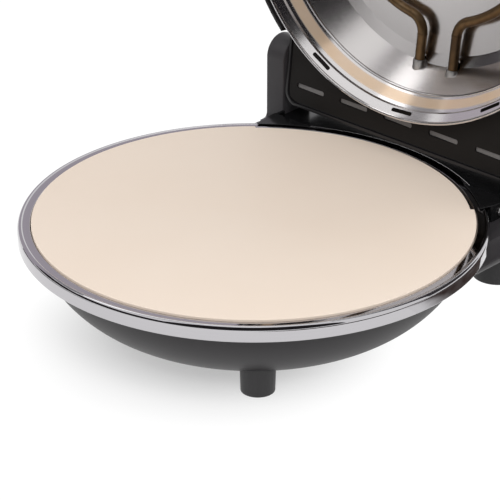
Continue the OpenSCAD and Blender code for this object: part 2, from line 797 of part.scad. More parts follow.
module lid_shell() color(charcoal) opened() difference() {
    union() {
        difference() {
            union() {
                dome_solid(0, lid_edge);
                box_solid(0, box_edge);
            }
            dome_solid(lid_wall, lid_edge - 1);
            box_solid(lid_wall, box_edge - 1);
            translate([-box_x, box_front, 0]) cube([2 * box_x, big, box_edge]);
        }
        difference() {
            rod_z(lid_r - lid_wall + eps, lid_ledge_z, lid_ledge_z + lid_wall);
            rod_z(lid_r - lid_wall - ledge_w, 0, lid_top);
            translate([-box_x, box_front, 0]) cube([2 * box_x, big, box_edge]);
        }
        difference() {
            panel_rib(lid_wall - eps);
            panel_rib(lid_wall + rib_w);
        }
        both_sides() rod_x(boss_r, bush_in_x, box_x - eps, hinge_y, hinge_z);
        at_lid_posts() rod_z(post_r, lid_post_z, lid_top - lid_wall);
    }
    both_sides() rod_x(bush_r, bush_in_x - 1, box_x + 1, hinge_y, hinge_z);
    at_lid_posts() rod_z(screw_r + screw_gap, 0, lid_post_z + 12);
    for (side = [-1, 1]) translate([side * dial_x, dial_y, 0])
        rod_z(shaft_r + 1, box_top - lid_wall - 1, box_top + 1);
    for (side = [-1, 1]) translate([side * lamp_x, dial_y, 0])
        rod_z(lamp_r, box_top - lid_wall - 1, box_top + 1);
    at_handle_ends() translate([0, 0, grip_z]) rotate([0, 90, 0])
        cylinder(r = screw_r + screw_gap, h = lid_r + 5);
}

// The rib's outline inside the box, behind the vent panel.
module panel_rib(inset) {
    translate([0, 0, panel_z + panel_t]) linear_extrude(2)
        plan_section(box_x - inset, rib_front_y, box_back - inset, box_corner_r - inset);
}

module vent_slot(l, w) {
    translate([-l / 2 + w / 2, -w / 2]) square([l - w, w]);
    for (side = [-1, 1]) translate([side * (l - w) / 2, 0]) circle(w / 2, $fn = 24);
}

function vent_x(i) = (i - (vent_count - 1) / 2) * vent_pitch;

module vent_panel() color("#1f1f1f") opened() translate([0, 0, panel_z]) linear_extrude(panel_t)
    difference() {
        plan_section(panel_x, panel_front, panel_back, panel_corner_r);
        circle(panel_inner_r, $fn = 192);
        for (i = [0:vent_count - 1]) translate([vent_x(i), vent_y]) vent_slot(vent_l, vent_w);
    }

// A sheet strip behind the vents: a foot on the panel and a blade that leans over the slots.
module vent_baffle() color(steel) opened() along_x(1 - bush_in_x, bush_in_x - 1)
    translate([vent_y - vent_w, panel_z + panel_t]) polygon([[-4, 0], [0, 0], [vent_w * 1.7, 5],
        [vent_w * 1.7, 5 + 1.4 * baffle_t], [-0.5, baffle_t], [-4, baffle_t]]);

// The collar: a rolled rim, a flange with slots and a cone that ends in a bead.
module reflector_collar() color(bright) opened() translate([0, 0, reflector_z]) difference() {
    rotate_extrude() polygon(concat(
        [[flange_in_r - 0.7, 6], [flange_in_r, 4.2]], arc_points([reflector_r, 0], roll_r, 161, 487),
        [[flange_in_r, 4.2 + sheet_t], [flange_in_r - 0.7, 6 + sheet_t]],
        arc_points([bead_ring_r, bead_z], bead_r, -29, 301)));
    for (i = [0:flange_slots - 1]) rotate(flange_slot_turn - i * 360 / flange_slots)
        translate([0, flange_slot_r, -5]) linear_extrude(20) vent_slot(flange_slot_l, flange_slot_w);
}

// The dish: it stands on the collar's bead and rises to a shallow ceiling.
module upper_reflector() color(bright) opened() translate([0, 0, reflector_z]) difference() {
    rotate_extrude() sheet_section([[bead_ring_r + 0.6, bead_z + bead_r],
        [bead_ring_r - 1, bead_z + bead_r],
        [dish_side_r, dish_side_z], [fold_r, fold_z], [0, reflector_depth]], sheet_t);
    for (x = [leg_left_x, leg_right_x])
        rod_y(ferrule_hole_r, fold_r - 5, bead_ring_r, x, upper_loop_depth);
    at_lid_posts() rod_z(screw_r + screw_gap, 0, big);
}

module reflector_screws() color(steel) opened() at_lid_posts() {
    rod_z(screw_r, lid_post_z - 3, lid_post_z + 10);
    rod_z(screw_head_r, lid_post_z - 3 - screw_head_h, lid_post_z - 3);
}

module upper_element() color(bronze) opened() translate([0, 0, upper_loop_z]) heating_loop();

module upper_element_clips() color(steel) opened() translate([0, 0, upper_loop_z])
    for (a = clip_angles) rotate(a) translate([loop_r, 0, 0]) mirror([0, 0, 1]) loop_clip(upper_clip_h);

module upper_element_glands() color(steel) opened() translate([0, 0, upper_loop_z])
    leg_glands(ferrule_hole_r - 0.1, fold_r + 6, bead_ring_r - 7);

module lid_insulation() color("#d8cfb4") opened()
    rod_z(insulation_r, lid_top - lid_wall - insulation_t, lid_top - lid_wall);

module hinge_bush() color("#b08d57") difference() {
    union() {
        rod_x(bush_r, bush_in_x, box_x, hinge_y, hinge_z);
        rod_x(boss_r - 0.5, box_x, box_x + bush_flange_t, hinge_y, hinge_z);
    }
    rod_x(pin_r + run_gap, bush_in_x - 1, box_x + 2, hinge_y, hinge_z);
}
module hinge_bush_right() hinge_bush();
module hinge_bush_left() mirror([1, 0, 0]) hinge_bush();

module control_fascia() color(gloss_black) opened() translate([0, 0, box_top]) linear_extrude(fascia_t)
    difference() {
        translate([0, dial_y]) vent_slot(2 * fascia_x, fascia_w);
        for (side = [-1, 1]) {
            translate([side * dial_x, dial_y]) circle(shaft_r + 1);
            translate([side * lamp_x, dial_y]) circle(lamp_r);
        }
    }

module control_body(x) opened() translate([x, dial_y, 0]) difference() {
    translate([-control_w / 2, -control_w / 2 + 4, box_top - lid_wall - control_h])
        cube([control_w, control_w - 8, control_h]);
    rod_z(shaft_r + run_gap, box_top - lid_wall - shaft_depth - 0.1, box_top);
}
module thermostat() color("#8d8d88") control_body(-dial_x);
module timer() color(white_plastic) control_body(dial_x);

module control_shaft(x) opened() translate([x, dial_y, 0])
    rod_z(shaft_r, box_top - lid_wall - shaft_depth, knob_floor + dial_h - 4);
module thermostat_shaft() color(steel) control_shaft(-dial_x);
module timer_shaft() color(steel) control_shaft(dial_x);

// A dial with a broad skirt and a finger bar across its top.
module dial(x) opened() translate([x, dial_y, knob_floor]) difference() {
    union() {
        cylinder(r = dial_r, h = 4);
        translate([0, 0, 4 - eps]) cylinder(r1 = dial_r - 2, r2 = dial_r - 4, h = 3);
        intersection() {
            translate([-bar_w / 2, -dial_r, 0]) cube([bar_w, 2 * dial_r, dial_h]);
            cylinder(r = dial_r - 2.5, h = dial_h);
        }
    }
    rod_z(shaft_r, -1, dial_h - 4);
}
module thermostat_dial() color(gloss_black) dial(-dial_x);
module timer_dial() color(gloss_black) dial(dial_x);

module lamp(x) opened() translate([x, dial_y, 0]) {
    rod_z(lamp_r, box_top - lid_wall - 6, box_top + fascia_t + 1);
    translate([0, 0, box_top + fascia_t + 1]) cylinder(r1 = lamp_r, r2 = lamp_r - 1, h = 1);
}
module power_lamp() color("#c2261c") lamp(-lamp_x);
module ready_lamp() color("#3f9a45") lamp(lamp_x);

// Wires from the undersides of the controls to the legs of the upper loop.
module lid_wires() color("#9a3b2a") opened() for (pair = [[-dial_x, leg_left_x], [dial_x, leg_right_x]]) {
    translate([pair[0], wire_y, 0]) rod_z(wire_r, lid_wire_z, box_top - lid_wall - control_h);
    translate([pair[0], wire_y, lid_wire_z]) sphere(wire_joint_r, $fn = 32);
    rod_x(wire_r, min(pair[0], pair[1]), max(pair[0], pair[1]), wire_y, lid_wire_z);
    translate([pair[1], wire_y, lid_wire_z]) sphere(wire_joint_r, $fn = 32);
    translate([pair[1], wire_y, 0]) rod_z(wire_r, upper_loop_z, lid_wire_z);
    translate([pair[1], wire_y, upper_loop_z]) sphere(wire_joint_r, $fn = 32);
    rod_y(wire_r, leg_end_y, wire_y, pair[1], upper_loop_z);
}

// The handle: a bow round the lid's front on two stout ends.
module grip_section(grow) {
    r = grip_t / 2 + grow;
    translate([grip_r - r, grip_z - grip_h / 2 + r]) square([2 * r, grip_h - 2 * r]);
    for (side = [-1, 1]) translate([grip_r, grip_z + side * (grip_h / 2 - r)]) circle(r);
}

module lid_handle() color(gloss_black) opened() difference() {
    union() {
        rotate(-90 - grip_angle) rotate_extrude(angle = 2 * grip_angle) grip_section(0);
        at_handle_ends() translate([lid_r - 20, -8, grip_z - grip_h / 2 + 1])
            cube([grip_r - lid_r + 20, 16, grip_h - 2]);
    }
    dome_solid(0, -big);
    at_handle_ends() translate([0, 0, grip_z]) rotate([0, 90, 0])
        cylinder(r = screw_r, h = lid_r + handle_screw_bite + 2);
}

module handle_screws() color(steel) opened() at_handle_ends() translate([0, 0, grip_z])
    rotate([0, 90, 0]) {
        translate([0, 0, handle_screw_in_r])
            cylinder(r = screw_r, h = lid_r + handle_screw_bite - handle_screw_in_r);
        translate([0, 0, handle_screw_in_r - screw_head_h]) cylinder(r = screw_head_r, h = screw_head_h);
    }

base_bowl();
rear_housing();
hinge_tower_left();
hinge_tower_right();
chrome_ring();
hinge_deck();
deck_screws();
reflector_pan();
pan_screws();
pan_spacers();
heat_shield();
lower_element();
lower_element_clips();
lower_element_glands();
foot_front_left();
foot_front_right();
foot_rear_left();
foot_rear_right();
foot_screws();
wiring_cover();
cover_screws();
cord_gland();
terminal_block();
base_wires();
hinge_pin_left();
hinge_pin_right();
baking_stone();
lid_shell();
vent_panel();
vent_baffle();
reflector_collar();
upper_reflector();
reflector_screws();
upper_element();
upper_element_clips();
upper_element_glands();
lid_insulation();
hinge_bush_left();
hinge_bush_right();
control_fascia();
thermostat();
thermostat_shaft();
thermostat_dial();
timer();
timer_shaft();
timer_dial();
power_lamp();
ready_lamp();
lid_wires();
lid_handle();
handle_screws();
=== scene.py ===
# %% [markdown]
# # A countertop pizza maker, dressed
#
# The rigid frame of this appliance, with its true sizes and its moving bodies, is loaded first and
# is never changed. Each step after that takes one real piece, says what it is and how it is made,
# and either gives the frame's own piece a finish or models a finer one that stands for it.

# %% Load the frame
import json
import math

import bpy
from mathutils import Matrix, Vector


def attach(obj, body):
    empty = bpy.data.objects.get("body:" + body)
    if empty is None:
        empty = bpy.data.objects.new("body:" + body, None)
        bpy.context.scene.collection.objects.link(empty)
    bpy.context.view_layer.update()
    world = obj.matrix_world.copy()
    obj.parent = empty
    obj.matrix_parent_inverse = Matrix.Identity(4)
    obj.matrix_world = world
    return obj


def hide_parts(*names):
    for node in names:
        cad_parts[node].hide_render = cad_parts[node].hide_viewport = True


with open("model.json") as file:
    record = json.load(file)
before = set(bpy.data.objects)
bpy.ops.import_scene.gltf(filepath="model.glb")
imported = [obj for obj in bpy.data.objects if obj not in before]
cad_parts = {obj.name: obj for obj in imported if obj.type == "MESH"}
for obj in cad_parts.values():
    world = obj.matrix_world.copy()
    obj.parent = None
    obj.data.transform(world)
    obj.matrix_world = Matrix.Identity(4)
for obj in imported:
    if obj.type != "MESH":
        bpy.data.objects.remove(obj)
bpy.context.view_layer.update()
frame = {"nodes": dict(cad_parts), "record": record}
MM = 0.001

# %% [markdown]
# ## Shader maths in plain Python
#
# A finish is a small tree of nodes. Writing it node by node is slow to read, so one class wraps a
# socket and overloads the arithmetic operators. An expression such as `1 - mask * 0.4` then adds
# its own Math nodes. Colours go through a Mix node, because a Math node would turn them grey.

# %% A socket that can be added and multiplied
class Value:
    def __init__(self, finish, socket):
        self.finish = finish
        self.socket = socket

    def maths(self, operation, first, second=None):
        inputs = {0: first} if second is None else {0: first, 1: second}
        return self.finish.node("ShaderNodeMath", {"operation": operation}, inputs)

    def __add__(self, other):
        return self.maths("ADD", self, other)

    def __radd__(self, other):
        return self.maths("ADD", other, self)

    def __sub__(self, other):
        return self.maths("SUBTRACT", self, other)

    def __rsub__(self, other):
        return self.maths("SUBTRACT", other, self)

    def __mul__(self, other):
        return self.maths("MULTIPLY", self, other)

    def __rmul__(self, other):
        return self.maths("MULTIPLY", other, self)

    def __pow__(self, other):
        return self.maths("POWER", self, other)

    def absolute(self):
        return self.maths("ABSOLUTE", self)

    def smooth(self, low, high):
        """A soft step from 0 to 1 between two values."""
        settings = {"interpolation_type": "SMOOTHSTEP"}
        return self.finish.node("ShaderNodeMapRange", settings, {"Value": self, 1: low, 2: high})


# %% [markdown]
# ## One class for a finish
#
# A finish holds one Principled shader. `node` adds any other node: its settings come first, then
# the values or links of its sockets. `grain` and `relief` are the two things that nearly every
# real surface has: a fine variation, and a little height that bends the light.

# %% The finish class
def linear(red, green, blue):
    """An 8-bit screen colour as the linear colour that a shader takes."""
    def one(c):
        c /= 255
        return c / 12.92 if c <= 0.04045 else ((c + 0.055) / 1.055) ** 2.4
    return (one(red), one(green), one(blue), 1)


class Finish:
    def __init__(self, name, **fixed):
        self.material = bpy.data.materials.new(name)
        self.material.use_nodes = True
        self.tree = self.material.node_tree
        self.skin = self.tree.nodes["Principled BSDF"]
        for socket, value in fixed.items():
            self.skin.inputs[socket.replace("_", " ")].default_value = value
        self.place = self.node("ShaderNodeTexCoord", {}, {}, "Object")

    def node(self, kind, settings, inputs, output=0):
        made = self.tree.nodes.new(kind)
        for name, value in settings.items():
            if name == "stops":
                ramp = made.color_ramp
                while len(ramp.elements) < len(value):
                    ramp.elements.new(0.5)
                for element, (position, colour) in zip(ramp.elements, value):
                    element.position = position
                    element.color = colour
            else:
                setattr(made, name, value)
        for name, value in inputs.items():
            if isinstance(value, Value):
                self.tree.links.new(value.socket, made.inputs[name])
            else:
                made.inputs[name].default_value = value
        return Value(self, made.outputs[output])

    def grain(self, scale, detail=3, place=None):
        return self.node("ShaderNodeTexNoise", {}, {"Vector": place or self.place, "Scale": scale,
                                                    "Detail": detail})

    def cells(self, scale):
        return self.node("ShaderNodeTexVoronoi", {}, {"Vector": self.place, "Scale": scale})

    def blend(self, low, high, factor):
        return self.node("ShaderNodeMix", {"data_type": "RGBA"},
                         {0: factor, 6: low, 7: high}, 2)

    def relief(self, height, strength, distance):
        return self.node("ShaderNodeBump", {}, {"Height": height, "Strength": strength,
                                                "Distance": distance})

    def paint(self, **links):
        for name, value in links.items():
            self.tree.links.new(value.socket, self.skin.inputs[name.replace("_", " ")])
        return self.material


# %% [markdown]
# ## Modelling helpers
#
# Most pieces of this appliance are turned or pressed on a round tool, so they are modelled the
# way a lathe makes them: one vertex is pulled along the profile by extruding, and the profile is
# spun about the axis. Pieces that aren't round start from a copy of the frame's own solid, merged
# and then given the small rounded edges that a mould leaves, because the light catches those
# edges.

# %% Selecting, entering and leaving edit mode
def deselect():
    if bpy.context.mode != "OBJECT":
        bpy.ops.object.mode_set(mode="OBJECT")
    bpy.ops.object.select_all(action="DESELECT")


def pick(piece):
    """Selects one piece alone and makes it the active one."""
    deselect()
    bpy.context.view_layer.objects.active = piece
    piece.select_set(True)


def edit(piece):
    """Enters edit mode with every vertex selected."""
    pick(piece)
    bpy.ops.object.mode_set(mode="EDIT")
    bpy.ops.mesh.select_mode(type="VERT")
    bpy.ops.mesh.select_all(action="SELECT")


def leave():
    bpy.ops.object.mode_set(mode="OBJECT")


def modifier(piece, kind, **settings):
    """Adds a modifier and applies it at once."""
    pick(piece)
    made = piece.modifiers.new(kind.title(), kind)
    for name, value in settings.items():
        setattr(made, name, value)
    bpy.ops.object.modifier_apply(modifier=made.name)


def smooth(piece, angle=35):
    """Shades a piece smooth, but for edges that turn more than an angle in degrees."""
    pick(piece)
    bpy.ops.object.shade_smooth_by_angle(angle=math.radians(angle))


def settle(piece):
    """Writes the object's own place into its mesh, so that it sits at the origin."""
    pick(piece)
    bpy.ops.object.transform_apply(location=True, rotation=True, scale=True)


# %% [markdown]
# ## A lathe and an outline cutter
#
# Both tools start alike: a tiny plane is merged to one vertex, and the vertex is extruded from
# point to point. The lathe spins that line about Z and merges the seam and the poles. The cutter
# fills the line to a face and pulls it up to a slab. Normals are worked out again at the end,
# because a spin can turn a skin inside out.

# %% A line of vertices, and a lathe
def traced(name, points):
    """Pulls one vertex along a line of points, and stays in edit mode with all selected."""
    deselect()
    bpy.ops.mesh.primitive_plane_add(size=MM)
    piece = bpy.context.object
    piece.name = piece.data.name = name
    edit(piece)
    bpy.ops.mesh.merge(type="CENTER")
    bpy.ops.transform.translate(value=points[0])
    for start, end in zip(points, points[1:]):
        bpy.ops.mesh.extrude_vertices_move(TRANSFORM_OT_translate={"value": end - start})
    bpy.ops.mesh.select_all(action="SELECT")
    return piece


def closed():
    """Points every face outwards and leaves edit mode."""
    bpy.ops.mesh.select_all(action="SELECT")
    bpy.ops.mesh.normals_make_consistent(inside=False)
    leave()


def turned(name, profile, steps=256):
    """Spins a profile of (radius, height) in millimetres about Z and closes its skin."""
    piece = traced(name, [Vector((r * MM, 0, z * MM)) for r, z in profile])
    bpy.ops.mesh.spin(steps=steps, angle=2 * math.pi, center=(0, 0, 0), axis=(0, 0, 1))
    bpy.ops.mesh.select_all(action="SELECT")
    bpy.ops.mesh.remove_doubles(threshold=1e-6)
    closed()
    return piece


def arc(x, y, radius, start, end, steps=8):
    """Points of an arc in millimetres, from one angle to another in degrees."""
    turn = [math.radians(start + (end - start) * i / steps) for i in range(steps + 1)]
    return [(x + radius * math.cos(t), y + radius * math.sin(t)) for t in turn]


# %% A slab cut to an outline
def slab(name, outline, low, high):
    """Extrudes an outline of (x, y) from one height to another, all in millimetres."""
    piece = traced(name, [Vector((x * MM, y * MM, low * MM)) for x, y in outline])
    bpy.ops.mesh.edge_face_add()
    bpy.ops.mesh.select_all(action="SELECT")
    bpy.ops.mesh.extrude_region_move(TRANSFORM_OT_translate={"value": (0, 0, (high - low) * MM)})
    closed()
    return piece


# %% [markdown]
# ## Turning, joining, cutting and rounding
#
# A piece is drawn lying down and then turned to where it stands. Every tool here writes the new
# place into the mesh, so each object stays at the origin. A mirrored copy comes out inside out,
# so its normals are worked out again.

# %% Two turns and a mirror
# a slab drawn in (y, z) with its height along X, and one drawn in (x, z) with its height along -Y
SIDEWAYS = Matrix(((0, 0, 1, 0), (1, 0, 0, 0), (0, 1, 0, 0), (0, 0, 0, 1)))
UPRIGHT = Matrix.Rotation(math.pi / 2, 4, "X")
MIRROR = Matrix.Scale(-1, 4, (1, 0, 0))


# %% Moving, joining, cutting and rounding
def turn_to(piece, matrix):
    """Moves or turns a piece and writes the place into its mesh."""
    piece.matrix_world = matrix @ piece.matrix_world
    settle(piece)
    return piece


def joined(name, pieces):
    """Makes one object of several."""
    deselect()
    for piece in pieces:
        piece.select_set(True)
    bpy.context.view_layer.objects.active = pieces[0]
    bpy.ops.object.join()
    pieces[0].name = pieces[0].data.name = name
    return pieces[0]


def cut(piece, *cutters):
    """Takes cutters out of a piece and removes them."""
    for cutter in cutters:
        modifier(piece, "BOOLEAN", operation="DIFFERENCE", solver="EXACT", object=cutter)
        bpy.data.objects.remove(cutter, do_unlink=True)
    return piece


def rounded(piece, width, segments=3, angle=35):
    """Gives every true edge the small radius that a mould or a press leaves, in millimetres."""
    modifier(piece, "BEVEL", width=width * MM, segments=segments, limit_method="ANGLE",
             angle_limit=math.radians(angle), use_clamp_overlap=True, miter_outer="MITER_ARC")
    smooth(piece, 50)
    modifier(piece, "WEIGHTED_NORMAL", keep_sharp=True)
    return piece


def copied(piece, name, matrix):
    """A copy with its own mesh, moved or mirrored, with its place written into the mesh."""
    twin = piece.copy()
    twin.data = piece.data.copy()
    twin.name = twin.data.name = name
    bpy.context.scene.collection.objects.link(twin)
    turn_to(twin, matrix)
    if matrix.determinant() < 0:
        edit(twin)
        closed()
    return twin


# %% [markdown]
# ## Softening a frame piece
#
# A frame piece is loose triangles with dead sharp edges. A copy is merged, its flat triangles are
# dissolved into whole faces, and a bevel then finds only the true edges by their angle. The piece
# in the frame itself is left alone.

# %% Rounding a copy of a frame piece
FLAT_ANGLE, EDGE_ANGLE = 0.4, 30


def softened(node, width):
    """A merged copy of a frame piece, with its sharp edges rounded to a width in millimetres."""
    source = frame["nodes"][node]
    piece = bpy.data.objects.new(node + "_skin", source.data.copy())
    piece.data.name = piece.name
    bpy.context.scene.collection.objects.link(piece)
    piece.data.materials.clear()
    edit(piece)
    bpy.ops.mesh.remove_doubles(threshold=2e-6)
    bpy.ops.mesh.select_all(action="SELECT")
    bpy.ops.mesh.dissolve_limited(angle_limit=math.radians(FLAT_ANGLE))
    leave()
    modifier(piece, "BEVEL", width=width * MM, segments=3, limit_method="ANGLE",
             angle_limit=math.radians(EDGE_ANGLE), use_clamp_overlap=True, harden_normals=False)
    smooth(piece)
    return piece


# %% [markdown]
# ## Opening the lid, and dressing a piece
#
# The lid stands open at rest, 96.6 degrees from shut, which is an awkward angle to draw at. So
# its pieces are drawn on the shut lid, where everything is level, and turned about the hinge
# line. Each finished piece then gets its finish, the body that it moves with, and the frame
# pieces that it stands for.

# %% Opening a piece of the lid
HINGE_Y, HINGE_Z = 164.8, 25.0
HINGE = Vector((0, HINGE_Y * MM, HINGE_Z * MM))
OPEN_ANGLE = 96.6
CLOSED_TO_OPEN = (Matrix.Translation(HINGE) @ Matrix.Rotation(math.radians(-OPEN_ANGLE), 4, "X")
                  @ Matrix.Translation(-HINGE))


def opened(piece):
    """Turns a piece that was modelled on the closed lid into its open place."""
    return turn_to(piece, CLOSED_TO_OPEN)


# %% Dressing a piece
def dress(piece, finish, body, stands_for=()):
    """Gives a piece its finish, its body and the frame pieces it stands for."""
    piece.data.materials.clear()
    piece.data.materials.append(finish)
    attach(piece, body)
    if stands_for:
        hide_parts(*stands_for)
    print(piece.name, "has", len(piece.data.polygons), "faces")


# %% [markdown]
# ## Charcoal moulding
#
# The bowl, the housing and the lid are moulded in a charcoal plastic with a very fine satin
# texture. It isn't black: it is a dark warm grey that picks up a broad soft highlight. The
# texture is far too small to model, so it is a bump from a fine noise, and a broad noise drifts
# the colour and the roughness a little. The bowl is the same plastic as the towers, but its copy
# is painted a shade darker, as painted shade for its place under the ring. The lid is glossier.

# %% Charcoal finish
def around(colour, below, above):
    """Two colours, a little darker and a little lighter than one given in 8 bits."""
    return (linear(*[max(c - below, 0) for c in colour]),
            linear(*[min(c + above, 255) for c in colour]))


def charcoal_finish(name, colour, roughness):
    f = Finish(name, Roughness=roughness, Specular_IOR_Level=0.28)
    fine = f.grain(2600, 2)
    broad = f.grain(35, 3)
    tone = f.blend(*around(colour, 3, 4), broad)
    return f.paint(Base_Color=tone, Roughness=roughness - 0.04 + 0.08 * broad,
                   Normal=f.relief(fine, 0.12, 0.00012))


charcoal = charcoal_finish("charcoal_moulding", (53, 51, 53), 0.42)
# painted shade: the bowl is the same plastic as the towers, given a darker copy of the colour for
# the shade it stands in under the ring
bowl_charcoal_painted_shade = charcoal_finish("bowl_moulding", (40, 38, 40), 0.46)
lid_charcoal = charcoal_finish("lid_moulding", (33, 32, 33), 0.2)

# %% [markdown]
# ## Gloss black deck and satin vent panel
#
# The strip between the stone and the lid is polished black plastic. Near-black with a low
# roughness is enough, with a trace of waviness so that a reflected edge isn't ruler straight. The
# panel behind it is the same plastic with a spark-eroded texture, which scatters the light.

# %% Black finishes
def black_finish(name, colour, roughness, texture, shine=0.5):
    f = Finish(name, Roughness=roughness, Specular_IOR_Level=shine)
    broad = f.grain(60, 2)
    fine = f.grain(1900, 3)
    tone = f.blend(*around(colour, 2, 2), broad)
    return f.paint(Base_Color=tone, Roughness=roughness + 0.05 * broad,
                   Normal=f.relief(fine, texture, 0.0001))


deck_black = black_finish("deck_gloss_black", (17, 17, 18), 0.16, 0.03)
panel_black = black_finish("vent_panel_black", (27, 25, 24), 0.5, 0.2, 0.12)
# painted light: the louvre bars are the panel's dark plastic, given a lighter grey that stands in
# for the light on the inside of the slots
louvre_grey = black_finish("louvre_grey", (96, 94, 94), 0.45, 0.1)
dial_black = black_finish("dial_gloss_black", (22, 22, 23), 0.22, 0.05)

# %% [markdown]
# ## Chrome and bright sheet
#
# The ring is chrome plated: a mirror with faint lines that run round it, left by the polishing
# wheel. The reflector is bright rolled sheet, which is a softer mirror. On both the lines follow
# the circle, so the noise is read at (radius, height) and not at (x, y). The collar also carries
# a painted reflection of the stone: a straw band between two radii, where the bare mirror gives
# way to a duller skin so that the painted tan shows under any light.

# %% Metal finishes
def round_lines(f, lines, centre, turn):
    """The distance from an axis, and a noise drawn out along the circles about that axis."""
    local = f.node("ShaderNodeMapping", {"vector_type": "TEXTURE"},
                   {"Vector": f.place, "Location": centre, "Rotation": (turn, 0, 0)})
    x, y, z = [f.node("ShaderNodeSeparateXYZ", {}, {0: local}, i) for i in range(3)]
    radius = (x * x + y * y) ** 0.5
    rings = f.node("ShaderNodeCombineXYZ", {}, {0: radius, 1: z, 2: 0.0})
    return radius, f.grain(lines, 3, rings)


def metal_finish(name, colour, roughness, lines, strength, centre=(0, 0, 0), turn=0):
    f = Finish(name, Metallic=1.0, Roughness=roughness)
    fine = round_lines(f, lines, centre, turn)[1]
    broad = f.grain(14, 2)
    tone = f.blend(*around(colour, 9, 0), fine)
    return f.paint(Base_Color=tone, Roughness=roughness * (0.7 + 0.5 * fine + 0.15 * broad),
                   Normal=f.relief(fine, strength, 0.00005))


def plain_metal(name, colour, roughness):
    f = Finish(name, Metallic=1.0, Roughness=roughness)
    fine = f.grain(500, 3)
    tone = f.blend(*around(colour, 14, 0), fine)
    return f.paint(Base_Color=tone, Roughness=roughness * (0.8 + 0.4 * fine))


# %% Sheet with a band of painted reflection
REFLECTOR_CENTRE = CLOSED_TO_OPEN @ Vector((0, 0, 0.0018))
LID_TURN = math.radians(-OPEN_ANGLE)
BAND_NEAR, BAND_FAR, BAND_FADE = 0.1462, 0.1535, 0.0012


def sheet_with_painted_reflection(name, colour, straw, roughness):
    """Sheet like the metal above, with the stone's reflection painted as a straw tint between two
    radii in metres.
    """
    f = Finish(name, Metallic=1.0, Roughness=roughness)
    radius, fine = round_lines(f, 1800, REFLECTOR_CENTRE, LID_TURN)
    cloud = f.grain(60, 3)
    band = (radius.smooth(BAND_NEAR, BAND_NEAR + BAND_FADE)
            * (1 - radius.smooth(BAND_FAR - BAND_FADE, BAND_FAR)))
    tone = f.blend(*around(colour, 9, 0), fine)
    # painted reflection: the straw tan of the stone, blended in across the band
    tone = f.blend(tone, linear(*straw), band * (0.75 + 0.3 * cloud))
    metal = 1.0 - 0.55 * band
    return f.paint(Base_Color=tone, Metallic=metal, Roughness=roughness * (0.7 + 0.5 * fine),
                   Normal=f.relief(fine, 0.06, 0.00005))


# %% The metals of this appliance
chrome = metal_finish("ring_chrome", (197, 195, 198), 0.05, 2600, 0.05)
bright_sheet = metal_finish("reflector_sheet", (218, 214, 213), 0.2, 1800, 0.08,
                            REFLECTOR_CENTRE, LID_TURN)
# the collar's straw band is a painted reflection of the stone
collar_sheet = sheet_with_painted_reflection("collar_sheet", (220, 217, 217), (206, 180, 152), 0.14)
pan_sheet = metal_finish("pan_sheet", (214, 212, 210), 0.25, 1800, 0.1)
plain_steel = plain_metal("plain_steel", (176, 174, 172), 0.32)
screw_steel = plain_metal("screw_steel", (205, 203, 202), 0.2)
brass = plain_metal("bush_brass", (190, 150, 92), 0.28)

# %% [markdown]
# ## Heat-tinted tube
#
# A sheathed element turns bronze and brown after its first heat, unevenly along its length. A low
# noise drives the colour between straw and brown, and a metallic value a little under one leaves
# the dull skin of oxide.

# %% Element finish
f = Finish("element_sheath", Metallic=0.85, Roughness=0.36)
bands = f.grain(55, 4)
fine = f.grain(900, 2)
stops = [(0.3, linear(74, 57, 40)), (0.55, linear(104, 82, 56)), (0.75, linear(128, 108, 84))]
tone = f.node("ShaderNodeValToRGB", {"stops": stops}, {0: bands})
sheath = f.paint(Base_Color=tone, Roughness=0.28 + 0.16 * fine,
                 Normal=f.relief(fine, 0.15, 0.0001))

# %% [markdown]
# ## Baking stone
#
# The stone is pressed and fired cordierite: cream, matt, with a faint cloudiness and a grain that
# only shows near. Cloud, grain and a few darker specks are three noises at three scales, and the
# same grain drives a shallow bump.

# %% Stone finish
f = Finish("baking_stone", Roughness=0.62, IOR=1.5)
cloud = f.grain(9, 3)
grain = f.grain(650, 4)
specks = f.cells(420).smooth(0.02, 0.1)
tone = f.blend(linear(235, 217, 200), linear(240, 225, 210), cloud)
tone = f.blend(linear(220, 200, 180), tone, 0.86 + 0.14 * specks)
stone_finish = f.paint(Base_Color=tone, Roughness=0.56 + 0.12 * grain,
                       Normal=f.relief(grain, 0.12, 0.0002))

# %% [markdown]
# ## Small finishes
#
# Rubber, ceramic, wool, lamp lenses and wire sleeves each need only a colour with some life in it,
# a roughness and a texture at the right size. One function writes them all.

# %% Finishes of the small pieces
def plain_finish(name, colour, roughness, scale, strength, spread=6, **fixed):
    f = Finish(name, Roughness=roughness, **fixed)
    fine = f.grain(scale, 3)
    broad = f.grain(30, 2)
    tone = f.blend(*around(colour, spread, spread), broad)
    return f.paint(Base_Color=tone, Roughness=roughness - 0.05 + 0.1 * fine,
                   Normal=f.relief(fine, strength, 0.0002))


rubber = plain_finish("foot_rubber", (46, 45, 46), 0.55, 1400, 0.2, 3)
ceramic = plain_finish("seal_ceramic", (220, 216, 208), 0.5, 800, 0.15)
block_plastic = plain_finish("block_plastic", (218, 214, 206), 0.4, 900, 0.1)
sleeve = plain_finish("wire_sleeve", (154, 58, 44), 0.45, 900, 0.2)
wool = plain_finish("glass_wool", (214, 205, 178), 0.95, 260, 0.9, 14)
print_white = plain_finish("printed_marks", (214, 214, 212), 0.5, 900, 0.05, 3)
red_lens = plain_finish("red_lens", (190, 34, 26), 0.12, 300, 0.02, 4, Coat_Weight=0.6)
green_lens = plain_finish("green_lens", (58, 150, 66), 0.12, 300, 0.02, 4, Coat_Weight=0.6)

# %% [markdown]
# ## A finish for every frame piece
#
# Each frame piece names the stuff it is made of. A table turns those names into the finishes
# above, so a piece that is hidden at rest still looks right when the lid or the stone is lifted
# away.

